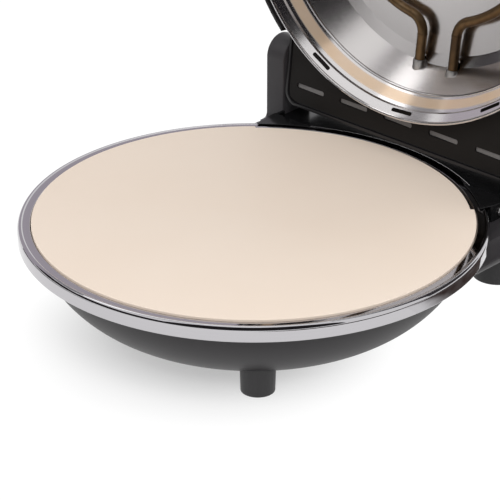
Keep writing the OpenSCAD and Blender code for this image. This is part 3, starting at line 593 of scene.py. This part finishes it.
# %% Finishes of the frame pieces
BY_SLOT = {
    "shell_plastic": charcoal, "lid_plastic": lid_charcoal, "deck_plastic": deck_black,
    "vent_plastic": panel_black, "dial_plastic": dial_black, "chromed_steel": chrome,
    "reflector_sheet": pan_sheet, "plain_steel": plain_steel, "screw_steel": screw_steel,
    "element_sheath": sheath, "baking_ceramic": stone_finish, "seal_ceramic": ceramic,
    "foot_rubber": rubber, "block_plastic": block_plastic, "wire_silicone": sleeve,
    "glass_wool": wool, "bush_brass": brass, "red_lens": red_lens, "green_lens": green_lens,
}
for part in frame["record"]["subparts"]:
    node = frame["nodes"][part["node"]]
    for place in node.material_slots:
        place.material = BY_SLOT[part["material_slot"]]

# %% [markdown]
# ## The bowl
#
# The base is a turned bowl: one long arc runs from a narrow ledge under the ring to the flat
# floor. It is spun in one piece with its rim and its inner wall, so it is closed like the real
# shell, and a small radius joins the arc to the floor.

# %% Spin the bowl
RING_OUT_R, BOWL_INSET = 163.0, 10.8
ARC_R, ARC_Z, LEDGE, FLOOR, WALL = 79.0, 9.8, -12.4, -64.0, 2.2
RIM_OUT_R, RIM_IN_R, RIM_TOP = 159.9, 156.0, -2.15
SIDE = RING_OUT_R - BOWL_INSET
ARC_X = SIDE - math.sqrt(ARC_R ** 2 - (ARC_Z - LEDGE) ** 2)


def bowl_arc(inset, low, high, steps):
    """The bowl's arc between two heights, moved inwards by an inset."""
    radius = ARC_R - inset
    start = math.degrees(math.asin((low - ARC_Z) / radius))
    end = math.degrees(math.asin((high - ARC_Z) / radius))
    return arc(ARC_X, ARC_Z, radius, start, end, steps)


outside = bowl_arc(0, FLOOR + 0.5, LEDGE, 48)
inside = bowl_arc(WALL, FLOOR + WALL, LEDGE + 1.6, 32)
bowl_profile = [(0, FLOOR), (outside[0][0] - 3.4, FLOOR), (outside[0][0] - 1.2, FLOOR + 0.12)]
bowl_profile += outside + [(RIM_OUT_R - 0.4, LEDGE), (RIM_OUT_R, LEDGE + 0.4),
                           (RIM_OUT_R, RIM_TOP), (RIM_IN_R, RIM_TOP), (RIM_IN_R, LEDGE + 1.6)]
bowl_profile += inside[::-1] + [(0, FLOOR + WALL)]
bowl = turned("bowl_skin", bowl_profile, 256)
smooth(bowl, 40)
# the bowl takes the charcoal copy that is painted darker as shade
dress(bowl, bowl_charcoal_painted_shade, "base", ["base_bowl"])

# %% [markdown]
# ## The chrome ring
#
# The ring is folded from sheet: a flat flange beside the stone, a small concave rise, a rounded
# shoulder, a wall and a turned-in lower lip. The rise draws a thin line in the reflection and the
# shoulder a dark band, so each is a real curve with enough points for a clean reflection.

# %% Spin the ring
RING_IN_R, TOP, FLANGE, WALL_DOWN, INNER_DOWN = 154.0, -0.9, -1.35, 10.7, 4.4
LIP_R, SHEET, EDGE_R, ACROSS, DOWN = 0.75, 0.8, 0.5, 2.4, 3.6
SHOULDER_X = RING_OUT_R - ACROSS
ring_profile = [(RING_IN_R, FLANGE - INNER_DOWN), (RING_IN_R, FLANGE - EDGE_R)]
ring_profile += arc(RING_IN_R + EDGE_R, FLANGE - EDGE_R, EDGE_R, 180, 90, 5)[1:]
ring_profile += [(SHOULDER_X - 1.7, FLANGE), (SHOULDER_X - 1.25, FLANGE + 0.04),
                 (SHOULDER_X - 0.95, FLANGE + 0.14)]
# the shoulder is part of an ellipse: flat on top, steep where it meets the wall
for degrees in range(106, -1, -5):
    t = math.radians(degrees)
    ring_profile.append((SHOULDER_X + ACROSS * math.cos(t), TOP - DOWN + DOWN * math.sin(t)))
ring_profile += arc(RING_OUT_R - LIP_R, TOP - WALL_DOWN + LIP_R, LIP_R, 0, -90, 8)
# back up inside the sheet
ring_profile += [(RING_OUT_R - SHEET, TOP - 10), (RING_OUT_R - SHEET, TOP - 4.2),
                 (SHOULDER_X + 0.9, TOP - 1.6), (RING_IN_R + SHEET, FLANGE - SHEET),
                 (RING_IN_R + SHEET, FLANGE - INNER_DOWN), (RING_IN_R, FLANGE - INNER_DOWN)]
ring = turned("ring_skin", ring_profile, 384)
smooth(ring, 50)
dress(ring, chrome, "base", ["chrome_ring"])

# %% [markdown]
# ## The baking stone
#
# A disc with a worn, slightly rounded edge. Its rear is relieved along an arc, so that it clears
# the lip of the lid, and the relief ends in two small steps. The outline is drawn as two arcs of
# different radius, and the steps come where one arc gives way to the other.

# %% Draw the stone
STONE_R, STONE_THICK, RELIEF, RELIEF_HALF = 153.5, 10, 2.7, 43
front_arc = arc(0, 0, STONE_R, 90 + RELIEF_HALF, 450 - RELIEF_HALF, 170)
rear_arc = arc(0, 0, STONE_R - RELIEF, 90 - RELIEF_HALF, 90 + RELIEF_HALF, 50)
stone = rounded(slab("stone_skin", front_arc + rear_arc, -STONE_THICK, 0), 0.6)
dress(stone, stone_finish, "stone", ["baking_stone"])

# %% [markdown]
# ## The hinge deck
#
# Two polished corner plates lie beside the ring, with a hollow front edge that laps over its
# flange. Behind them a step goes down to a trough, where the lid's rear wall swings. Each is a
# flat slab with a small rounded edge, and the edges are what catches the light.

# %% Draw the deck
DECK_R, CLEAR_R, STEP_Y, DECK_X = 157.7, 164.2, 140.5, 111.0
SKIRT_FRONT, TOWER_FRONT, TROUGH_FRONT, REAR_Y = 124.0, 149.1, 138.3, 185.3
TROUGH_LOW, TROUGH_TOP, DECK_WALL, GAP = -6.2, -4, 2.2, 0.03
BESIDE_TOWER = DECK_X - GAP


def on_circle(radius, x=None, y=None):
    """The angle at which a circle about the origin reaches an x or a y."""
    return math.degrees(math.acos(x / radius) if y is None else math.asin(y / radius))


def deck_plate(name, radius, low, high):
    """A corner plate whose front edge is hollowed to a radius."""
    hollow = arc(0, 0, radius, on_circle(radius, y=STEP_Y), on_circle(radius, x=DECK_X - 4), 24)
    outline = hollow + [(DECK_X, hollow[-1][1] + 12), (DECK_X, STEP_Y)]
    return rounded(slab(name, outline, low, high), 0.28, 3)


def box_slab(name, x0, x1, y0, y1, low, high, width=0.28):
    """A four-sided slab with rounded edges."""
    return rounded(slab(name, [(x0, y0), (x1, y0), (x1, y1), (x0, y1)], low, high), width)


right = [deck_plate("deck_skin", DECK_R, -0.7, 0), deck_plate("plate", CLEAR_R, -3, -0.1),
         box_slab("skirt", DECK_X - DECK_WALL, BESIDE_TOWER, SKIRT_FRONT, TOWER_FRONT,
                  LEDGE, -0.3),
         box_slab("step", 89, BESIDE_TOWER, STEP_Y - DECK_WALL, STEP_Y - GAP, TROUGH_LOW, -0.15)]
left = [copied(piece, "left_" + piece.name, MIRROR) for piece in right]
start = on_circle(CLEAR_R, y=TROUGH_FRONT)
trough = arc(0, 0, CLEAR_R, start, 180 - start, 40)[::-1]
trough += [(DECK_X, TROUGH_FRONT), (DECK_X, TOWER_FRONT), (DECK_X - 0.3, TOWER_FRONT),
           (DECK_X - 0.3, REAR_Y)]
trough += [(-x, y) for x, y in trough[-4:][::-1]]
trough = rounded(slab("trough", trough, TROUGH_LOW, TROUGH_TOP), 0.28)
rear = box_slab("rear", 0.3 - DECK_X, DECK_X - 0.3, REAR_Y - DECK_WALL, REAR_Y - GAP, LEDGE, -4.1)
deck = joined("deck_skin", right + left + [trough, rear])
dress(deck, deck_black, "base", ["hinge_deck"])

# %% [markdown]
# ## Screws of the deck
#
# A pan head is turned, then two narrow bars are cut out of it for the cross recess.

# %% Turn a screw head and cut its recess
SCREW_R, SCREW_HIGH, RECESS, SCREW_Y, SCREW_Z = 3.1, 1.8, 0.36, 133.3, -7


def pan_head(name, radius, height, slot):
    """A turned screw head with a crown and a cross recess."""
    profile = [(0, 0), (radius, 0), (radius, height * 0.35)]
    for step in range(1, 6):
        t = step / 6 * math.pi / 2
        profile.append((radius * math.cos(t * 0.9), height * (0.35 + 0.65 * math.sin(t))))
    profile.append((0, height))
    head = turned(name, profile, 48)
    bars = [slab("bar", [(-a, -b), (a, -b), (a, b), (-a, b)], height * 0.4, height * 2)
            for a, b in ((radius * 0.62, slot), (slot, radius * 0.62))]
    cut(head, *bars)
    smooth(head, 40)
    return head


head = turn_to(pan_head("deck_screw_skin", SCREW_R, SCREW_HIGH, RECESS),
               Matrix.Translation(Vector((DECK_X, SCREW_Y, SCREW_Z)) * MM) @ SIDEWAYS)
twin = copied(head, "left_screw", MIRROR)
dress(joined("deck_screw_skin", [head, twin]), screw_steel, "base", ["deck_screws"])

# %% [markdown]
# ## The hinge towers
#
# Each tower stands on the housing: its foot flares forward in a small hollow, the front goes
# straight up and the top is half a circle about the hinge pin. The side view is drawn and given
# its width, and the twin is its mirror image.

# %% Draw a tower
TOWER_TOP, TOWER_R, TOWER_OUT_X = 38.5, 15.3, 128.55
FOOT_Y, FOOT_LOW, FLARE_R = 143.5, -15.4, 6
side_view = [(FOOT_Y, FOOT_LOW), (FOOT_Y, LEDGE)]
side_view += arc(FOOT_Y, LEDGE + FLARE_R, FLARE_R, -90, 0, 10)[1:]
side_view += arc(HINGE_Y, TOWER_TOP, TOWER_R, 180, 0, 48) + [(HINGE_Y + TOWER_R, FOOT_LOW)]
tower = turn_to(slab("tower_right_skin", side_view, DECK_X, TOWER_OUT_X), SIDEWAYS)
rounded(tower, 1.3, 5, 40)
tower_left = copied(tower, "tower_left_skin", MIRROR)
dress(tower, charcoal, "base", ["hinge_tower_right"])
dress(tower_left, charcoal, "base", ["hinge_tower_left"])

# %% [markdown]
# ## Housing, covers, feet, lid shell and handle
#
# These are mouldings with real corners. The frame's solids have the right form, and what they lack
# is the small radius on every edge. A bevel limited by angle rounds only the true edges.

# %% Round the moulded pieces
for node, width, finish, slot, body in [
        ("rear_housing", 1.1, charcoal, "shell_plastic", "base"),
        ("wiring_cover", 0.4, charcoal, "shell_plastic", "base"),
        ("foot_front_left", 0.8, rubber, "foot_rubber", "base"),
        ("foot_front_right", 0.8, rubber, "foot_rubber", "base"),
        ("foot_rear_left", 0.9, rubber, "foot_rubber", "base"),
        ("foot_rear_right", 0.9, rubber, "foot_rubber", "base"),
        ("cord_gland", 0.5, rubber, "foot_rubber", "base"),
        ("lid_shell", 0.7, lid_charcoal, "lid_plastic", "lid"),
        ("control_fascia", 0.3, deck_black, "deck_plastic", "lid"),
        ("lid_handle", 1.2, dial_black, "dial_plastic", "lid"),
        ("upper_element_glands", 0.5, plain_steel, "plain_steel", "lid")]:
    dress(softened(node, width), finish, body, [node])

# %% [markdown]
# ## The vent panel
#
# A flat panel closes the back of the lid. It has a hollow front edge beside the reflector, two
# rounded rear corners and five long slots. A louvre bar slopes across each slot, so that one end
# of the slot looks shallow and the other deep. The bar is the panel's own dark plastic, painted a
# lighter grey as painted light on the inside of the slot. The bar is drawn once and copied a
# pitch apart.

# %% Cut the slots of the panel
PANEL_X, PANEL_LOW, PANEL_HIGH, PANEL_BACK, CORNER = 106.3, 12.3, 14.3, 181.5, 7.5
PANEL_HOLLOW_R, VENTS, VENT_Y, VENT_L, VENT_W, PITCH = 152.0, 5, 168.5, 27.0, 3.8, 42.8
VENT_X = [(i - VENTS // 2) * PITCH for i in range(VENTS)]
start = on_circle(PANEL_HOLLOW_R, x=PANEL_X)
hollow = arc(0, 0, PANEL_HOLLOW_R, start, 180 - start, 60)[::-1]
outline = hollow + arc(PANEL_X - CORNER, PANEL_BACK - CORNER, CORNER, 0, 90, 10)
outline += arc(CORNER - PANEL_X, PANEL_BACK - CORNER, CORNER, 90, 180, 10)
panel = slab("vent_panel_skin", outline, PANEL_LOW, PANEL_HIGH)
end_x, end_r = (VENT_L - VENT_W) / 2, VENT_W / 2
slots = []
for x in VENT_X:
    ends = arc(x + end_x, VENT_Y, end_r, -90, 90, 10) + arc(x - end_x, VENT_Y, end_r, 90, 270, 10)
    slots.append(slab("slot", ends, PANEL_LOW - 1, PANEL_HIGH + 1))
cut(panel, *slots)
rounded(panel, 0.55, 2)
dress(opened(panel), panel_black, "lid", ["vent_panel"])

# %% Set the louvres
BAR_HIGH, BAR_SLOPE, BAR_THICK, BAR_GAP = 14.4, 1.0, 0.9, 0.2
half = VENT_L / 2 - 0.3
left_z, right_z = BAR_HIGH, BAR_HIGH - BAR_SLOPE
bar = slab("louvre", [(-half, left_z - BAR_THICK), (half, right_z - BAR_THICK), (half, right_z),
                      (-half, left_z)], BAR_GAP - VENT_Y - end_r, end_r - VENT_Y - BAR_GAP)
bar = opened(rounded(turn_to(bar, UPRIGHT), 0.15, 2))
bars = [copied(bar, "louvre", Matrix.Translation((x * MM, 0, 0))) for x in VENT_X if x]
# the louvres take the lighter grey of painted light
dress(joined("vent_louvres", [bar] + bars), louvre_grey, "lid")

# %% [markdown]
# ## The reflector
#
# The lid's inside is bright rolled sheet: a collar with a rolled rim, a slotted flange and a cone
# that mirrors the stone, then a deep dish. Both keep the frame's own form, which is already spun
# with true curves, and take the sheet finishes, whose fine lines follow their circles.

# %% Finish the reflector
# the collar's finish carries a painted reflection of the stone, a straw band between two radii
for node, finish in (("upper_reflector", bright_sheet), ("reflector_collar", collar_sheet)):
    frame["nodes"][node].material_slots[0].material = finish
    print(node, "has", finish.name)

# %% [markdown]
# ## Dials, scales and lamps
#
# Each dial is a turned skirt with fine ribs, a raised grip across it and a white pointer line on
# the grip. The scales are printed on the fascia: a ring of marks that grow for the heat, and an
# even ring of minutes for the timer. The two lamps are small domes.

# %% Turn the dials
DIAL_X, DIAL_Y, FACE, DIAL_R, DIAL_H = 46, 154.533, 63.8, 14.0, 13.0
GRIP_R, RIB_R, RIB_STEP = 4.0, DIAL_R - 0.42, 12
skirt = [(3.1, 0), (DIAL_R - 0.4, 0), (DIAL_R, 0.4), (DIAL_R, 2.6)]
skirt += arc(DIAL_R - 1.4, 2.6, 1.4, 0, 80, 8)[1:]
skirt += [(DIAL_R - 2.4, 4.15), (DIAL_R - 4.2, 6.9), (DIAL_R - 4.9, 7.2), (3.1, 7.2), (3.1, 0)]


def dial(name, x):
    """A dial and its pointer line, turned at the origin and then set on the lid."""
    body = turned(name, skirt, 96)
    smooth(body, 40)
    end = DIAL_R - 2.6 - GRIP_R
    grip = arc(0, end, GRIP_R, 0, 180, 14) + arc(0, -end, GRIP_R, 180, 360, 14)
    grip = rounded(slab("grip", grip, 3.0, DIAL_H - 0.05), 0.9, 4)
    first = slab("first_rib", [(-0.45, -0.6), (0.45, -0.6), (0.45, 0.6), (-0.45, 0.6)], 0.9, 2.9)
    outwards = Matrix.Translation((RIB_R * MM, 0, 0))
    ribs = [copied(first, "rib", Matrix.Rotation(math.radians(a), 4, "Z") @ outwards)
            for a in range(0, 360, RIB_STEP)]
    bpy.data.objects.remove(first, do_unlink=True)
    whole = joined(name, [body, grip] + ribs)
    place = Matrix.Translation((x * MM, DIAL_Y * MM, FACE * MM))
    pointer = box_slab(name + "_pointer", -0.5, 0.5, 2.5, DIAL_R - 3.4, DIAL_H - 0.4, DIAL_H, 0.08)
    return opened(turn_to(whole, place)), opened(turn_to(pointer, place))


for name, x, body in (("thermostat_dial", -DIAL_X, "thermostat_control"),
                      ("timer_dial", DIAL_X, "timer_control")):
    knob, pointer = dial(name + "_skin", x)
    dress(knob, dial_black, body, [name])
    dress(pointer, print_white, body)

# %% Print the scales
PRINT_LOW, PRINT_HIGH, MARK_R, FASCIA_HALF = 63.1, 63.26, 14.5, 15.2


def scale(name, x, marks):
    """Printed marks about a dial, each as (angle, outer radius, half width)."""
    made = []
    for angle, far, half in marks:
        mark = slab(name, [(-half, MARK_R), (half, MARK_R), (half, far), (-half, far)],
                    PRINT_LOW, PRINT_HIGH)
        made.append(turn_to(mark, Matrix.Translation((x * MM, DIAL_Y * MM, 0))
                            @ Matrix.Rotation(math.radians(-angle), 4, "Z")))
    dress(opened(joined(name, made)), print_white, "lid")


def fits(mark):
    """Whether a mark stays on the narrow fascia."""
    angle, far = mark[:2]
    return abs(far * math.cos(math.radians(angle))) < FASCIA_HALF


heat = [(a, 15.1 + 0.1 * i, 0.25 + 0.05 * i) for i, a in enumerate(range(-135, 136, 18))]
minutes = [(a, 15.4, 0.2 if a % 66 else 0.4) for a in range(-165, 166, 11)]
scale("thermostat_scale", -DIAL_X, filter(fits, heat))
scale("timer_scale", DIAL_X, filter(fits, minutes))

# %% Turn the lamps
LAMP_X, LAMP_R, LAMP_LOW, LAMP_EDGE = 9, 2.95, 57, 64
LAMP_DOME_R, LAMP_DOME_Z = 3.4, 62.31
for node, x, finish, slot in (("power_lamp", -LAMP_X, red_lens, "red_lens"),
                              ("ready_lamp", LAMP_X, green_lens, "green_lens")):
    side = [(0, LAMP_LOW), (LAMP_R, LAMP_LOW), (LAMP_R, LAMP_EDGE)]
    dome = turned(node + "_skin", side + arc(0, LAMP_DOME_Z, LAMP_DOME_R, 29.8, 90, 8)[1:], 48)
    smooth(dome, 40)
    place = Matrix.Translation((x * MM, DIAL_Y * MM, 0))
    dress(opened(turn_to(dome, place)), finish, "lid", [node])

# %% [markdown]
# ## Floor
#
# A pale seamless floor takes the object's shadow. Away from the object it is plain white to the
# camera, to reflections and through clear things, by Light Path, so its whiteness adds no light to
# the object. Close under the bowl the floor's own shading shows, and the shadow with it.

# %% A shader that shines with a flat colour
def shine(tree, grey, strength=1.0):
    glow = tree.nodes.new("ShaderNodeEmission")
    glow.inputs["Color"].default_value = (*grey, 1)
    glow.inputs["Strength"].default_value = strength
    return glow


# %% Floor
deselect()
FLOOR_Z = -0.076
SHADOW_Y, SHADOW_NEAR, SHADOW_FAR, SHADOW_KEEP = 0.055, 0.045, 0.16, 0.58
bpy.ops.mesh.primitive_plane_add(size=12, location=(0, 0, FLOOR_Z))
floor = bpy.context.object
floor.name = "studio_floor"
settle(floor)
f = Finish("floor_white", Roughness=0.9)
f.skin.inputs["Base Color"].default_value = (0.93, 0.93, 0.93, 1)
f.skin.inputs["Specular IOR Level"].default_value = 0.0
camera_ray, glossy_ray, through_ray = [
    f.node("ShaderNodeLightPath", {}, {}, name)
    for name in ("Is Camera Ray", "Is Glossy Ray", "Is Transmission Ray")]
x, y = [f.node("ShaderNodeSeparateXYZ", {}, {0: f.place}, i) for i in (0, 1)]
away = ((x ** 2.0 + (y + SHADOW_Y) ** 2.0) ** 0.5).smooth(SHADOW_NEAR, SHADOW_FAR)
white = camera_ray * (1 - SHADOW_KEEP + SHADOW_KEEP * away) + glossy_ray * 0.8 + through_ray
mixed = f.node("ShaderNodeMixShader", {}, {0: white})
glow = shine(f.tree, (1, 1, 1), 1.06)
f.tree.links.new(f.skin.outputs[0], mixed.socket.node.inputs[1])
f.tree.links.new(glow.outputs[0], mixed.socket.node.inputs[2])
f.tree.links.new(mixed.socket, f.tree.nodes["Material Output"].inputs["Surface"])
floor.data.materials.append(f.material)
print("floor at", FLOOR_Z, "m")

# %% [markdown]
# ## Reflection cards
#
# Chrome has no colour of its own: it looks like what stands about it. A studio shapes it with
# white and black cards, and so does this stage. Each card is seen by reflections alone. Upright
# cards all round draw the bands of the ring's flange, shoulder and wall, and three low cards just
# above the floor darken the wall at the right and far to the left.

# %% Cards that only reflections see
CARD_Z = FLOOR_Z + 0.0005


def card(name, corners, grey, strength=1.0, fade=None, along=1):
    """A card of four corners in metres; `fade` turns it to white along one axis."""
    deselect()
    bpy.ops.mesh.primitive_plane_add(size=1)
    piece = bpy.context.object
    piece.name = piece.data.name = name
    order = (0, 1, 3, 2)
    for vertex, corner in zip(piece.data.vertices, [corners[i] for i in order]):
        vertex.co = corner
    f = Finish(name, Roughness=1.0)
    glow = shine(f.tree, linear(*grey)[:3], strength)
    if fade:
        way = f.node("ShaderNodeSeparateXYZ", {}, {0: f.place}, along).absolute()
        streaks = f.grain(28.0)
        near = (way + 0.03 * streaks - 0.015).smooth(*fade)
        tone = f.blend(linear(252, 252, 252), linear(*grey), near * (0.86 + 0.2 * streaks))
        f.tree.links.new(tone.socket, glow.inputs["Color"])
    f.tree.links.new(glow.outputs[0], f.tree.nodes["Material Output"].inputs["Surface"])
    piece.data.materials.append(f.material)
    for kind in ("camera", "diffuse", "shadow", "transmission", "volume_scatter"):
        setattr(piece, "visible_" + kind, False)


def ring_card(name, low, high, start, stop, reach, grey, strength=1.0):
    """A flat card across two compass angles from -Y towards +X, at a distance in metres."""
    ends = [Vector((reach * math.sin(math.radians(a)), -reach * math.cos(math.radians(a)), 0))
            for a in (start, stop)]
    card(name, [ends[0] + Vector((0, 0, low)), ends[1] + Vector((0, 0, low)),
                ends[1] + Vector((0, 0, high)), ends[0] + Vector((0, 0, high))], grey, strength)


def floor_card(name, corners, grey, **more):
    """A card just above the floor, from corners of (x, y)."""
    card(name, [(x, y, CARD_Z) for x, y in corners], grey, **more)


ring_card("flange_card", -0.07, 1.55, 222, 286, 2.4, (190, 184, 192))
ring_card("line_card", 2.2, 3.6, 215, 300, 2.4, (255, 255, 255), 1.9)
for name, start, stop, low, high, grey in (
        ("dark_left", -100, -50, 0.2, 1.6, 40), ("dark_front_left", -50, 0, 0.2, 1.9, 40),
        ("dark_front", 0, 45, 0.2, 9.0, 40), ("dark_right", 45, 84, 0.2, 9.0, 40),
        ("grey_rear_right", 128, 168, 0.2, 9.0, 66), ("grey_left", -115, -60, 2.0, 9.0, 150)):
    ring_card(name, low, high, start, stop, 3.0, (grey, grey - 2, grey))
floor_card("right_card", [(0.14, 0.05), (0.36, 0.05), (0.5, 0.5), (0.12, 0.5)],
           (62, 50, 46), fade=(0.06, 0.125))
floor_card("left_far", [(-1.7, -1.3), (-0.38, -1.3), (-0.38, -0.12), (-1.7, -0.12)],
           (48, 46, 48), fade=(0.40, 0.57), along=0)
floor_card("right_far", [(0.37, -0.4), (1.1, -0.6), (1.1, 0.5), (0.5, 0.5)], (62, 54, 50))

# %% [markdown]
# ## World and lamps
#
# The world lights the object softly from all round, at a plain level at which colours come out
# about as they are written. Rays from the camera and from mirrors see it as white. Three large
# lamps give the light a direction: a key from the right front, a strip behind that edges the lid,
# and a fill from the left. Reflections don't see the lamps, so they leave no white patch on the
# chrome.

# %% World
SOFT_LEVEL = 0.6
world = bpy.data.worlds.new("studio")
bpy.context.scene.world = world
world.use_nodes = True
tree = world.node_tree
shown, soft = tree.nodes["Background"], tree.nodes.new("ShaderNodeBackground")
for background, strength in ((shown, 1.0), (soft, SOFT_LEVEL)):
    background.inputs["Color"].default_value = (1, 1, 1, 1)
    background.inputs["Strength"].default_value = strength
rays = tree.nodes.new("ShaderNodeLightPath")
either = rays.outputs["Is Camera Ray"]
for name in ("Is Glossy Ray", "Is Transmission Ray"):
    most = tree.nodes.new("ShaderNodeMath")
    most.operation = "MAXIMUM"
    tree.links.new(either, most.inputs[0])
    tree.links.new(rays.outputs[name], most.inputs[1])
    either = most.outputs[0]
choose = tree.nodes.new("ShaderNodeMixShader")
tree.links.new(either, choose.inputs[0])
tree.links.new(soft.outputs[0], choose.inputs[1])
tree.links.new(shown.outputs[0], choose.inputs[2])
tree.links.new(choose.outputs[0], tree.nodes["World Output"].inputs["Surface"])


# %% Lamps
def lamp(name, place, target, size, watts):
    """A flat lamp that looks at a target, both in metres."""
    data = bpy.data.lights.new(name, "AREA")
    data.shape = "RECTANGLE"
    data.size, data.size_y = size
    data.energy = watts
    lamp_object = bpy.data.objects.new(name, data)
    bpy.context.scene.collection.objects.link(lamp_object)
    lamp_object.location = place
    lamp_object.visible_glossy = False
    aim = Vector(target) - Vector(place)
    lamp_object.rotation_mode = "QUATERNION"
    lamp_object.rotation_quaternion = aim.to_track_quat("-Z", "Y")


lamp("key_softbox", (1.0, -0.9, 1.4), (0, 0.05, 0), (1.0, 1.0), 17)
lamp("rear_strip", (0.6, 1.6, 1.4), (0, 0.1, 0.1), (1.4, 0.6), 9)
lamp("left_fill", (-1.4, -0.9, 1.0), (0, 0, 0), (1.0, 1.0), 8)

# %% [markdown]
# ## Camera
#
# The camera looks down at the stone from the right front, from far enough off that the circles
# stay full. Its place is worked out from two angles and a distance, and its lens from a focal
# length in pixels and the width of the frame in pixels.

# %% Camera
SENSOR, LOOK_AT = 36, Vector((0.0358, -0.0413, 0))
AZIMUTH, ELEVATION, DISTANCE = 43.6, 26.5, 1.6
FOCAL_PIXELS, FRAME_PIXELS = 2387, 500
turn, lift = math.radians(AZIMUTH), math.radians(ELEVATION)
back = Vector((math.sin(turn) * math.cos(lift), -math.cos(turn) * math.cos(lift), math.sin(lift)))
camera = bpy.data.objects.new("studio_camera", bpy.data.cameras.new("studio_camera"))
bpy.context.scene.collection.objects.link(camera)
camera.data.sensor_width = SENSOR
camera.data.lens = FOCAL_PIXELS * SENSOR / FRAME_PIXELS
camera.location = LOOK_AT + back * DISTANCE
camera.rotation_mode = "QUATERNION"
camera.rotation_quaternion = (-back).to_track_quat("-Z", "Y")
camera.data.clip_end = 50
bpy.context.scene.camera = camera
bpy.context.scene.view_settings.view_transform = "Standard"
print("lens:", round(camera.data.lens, 1), "mm")
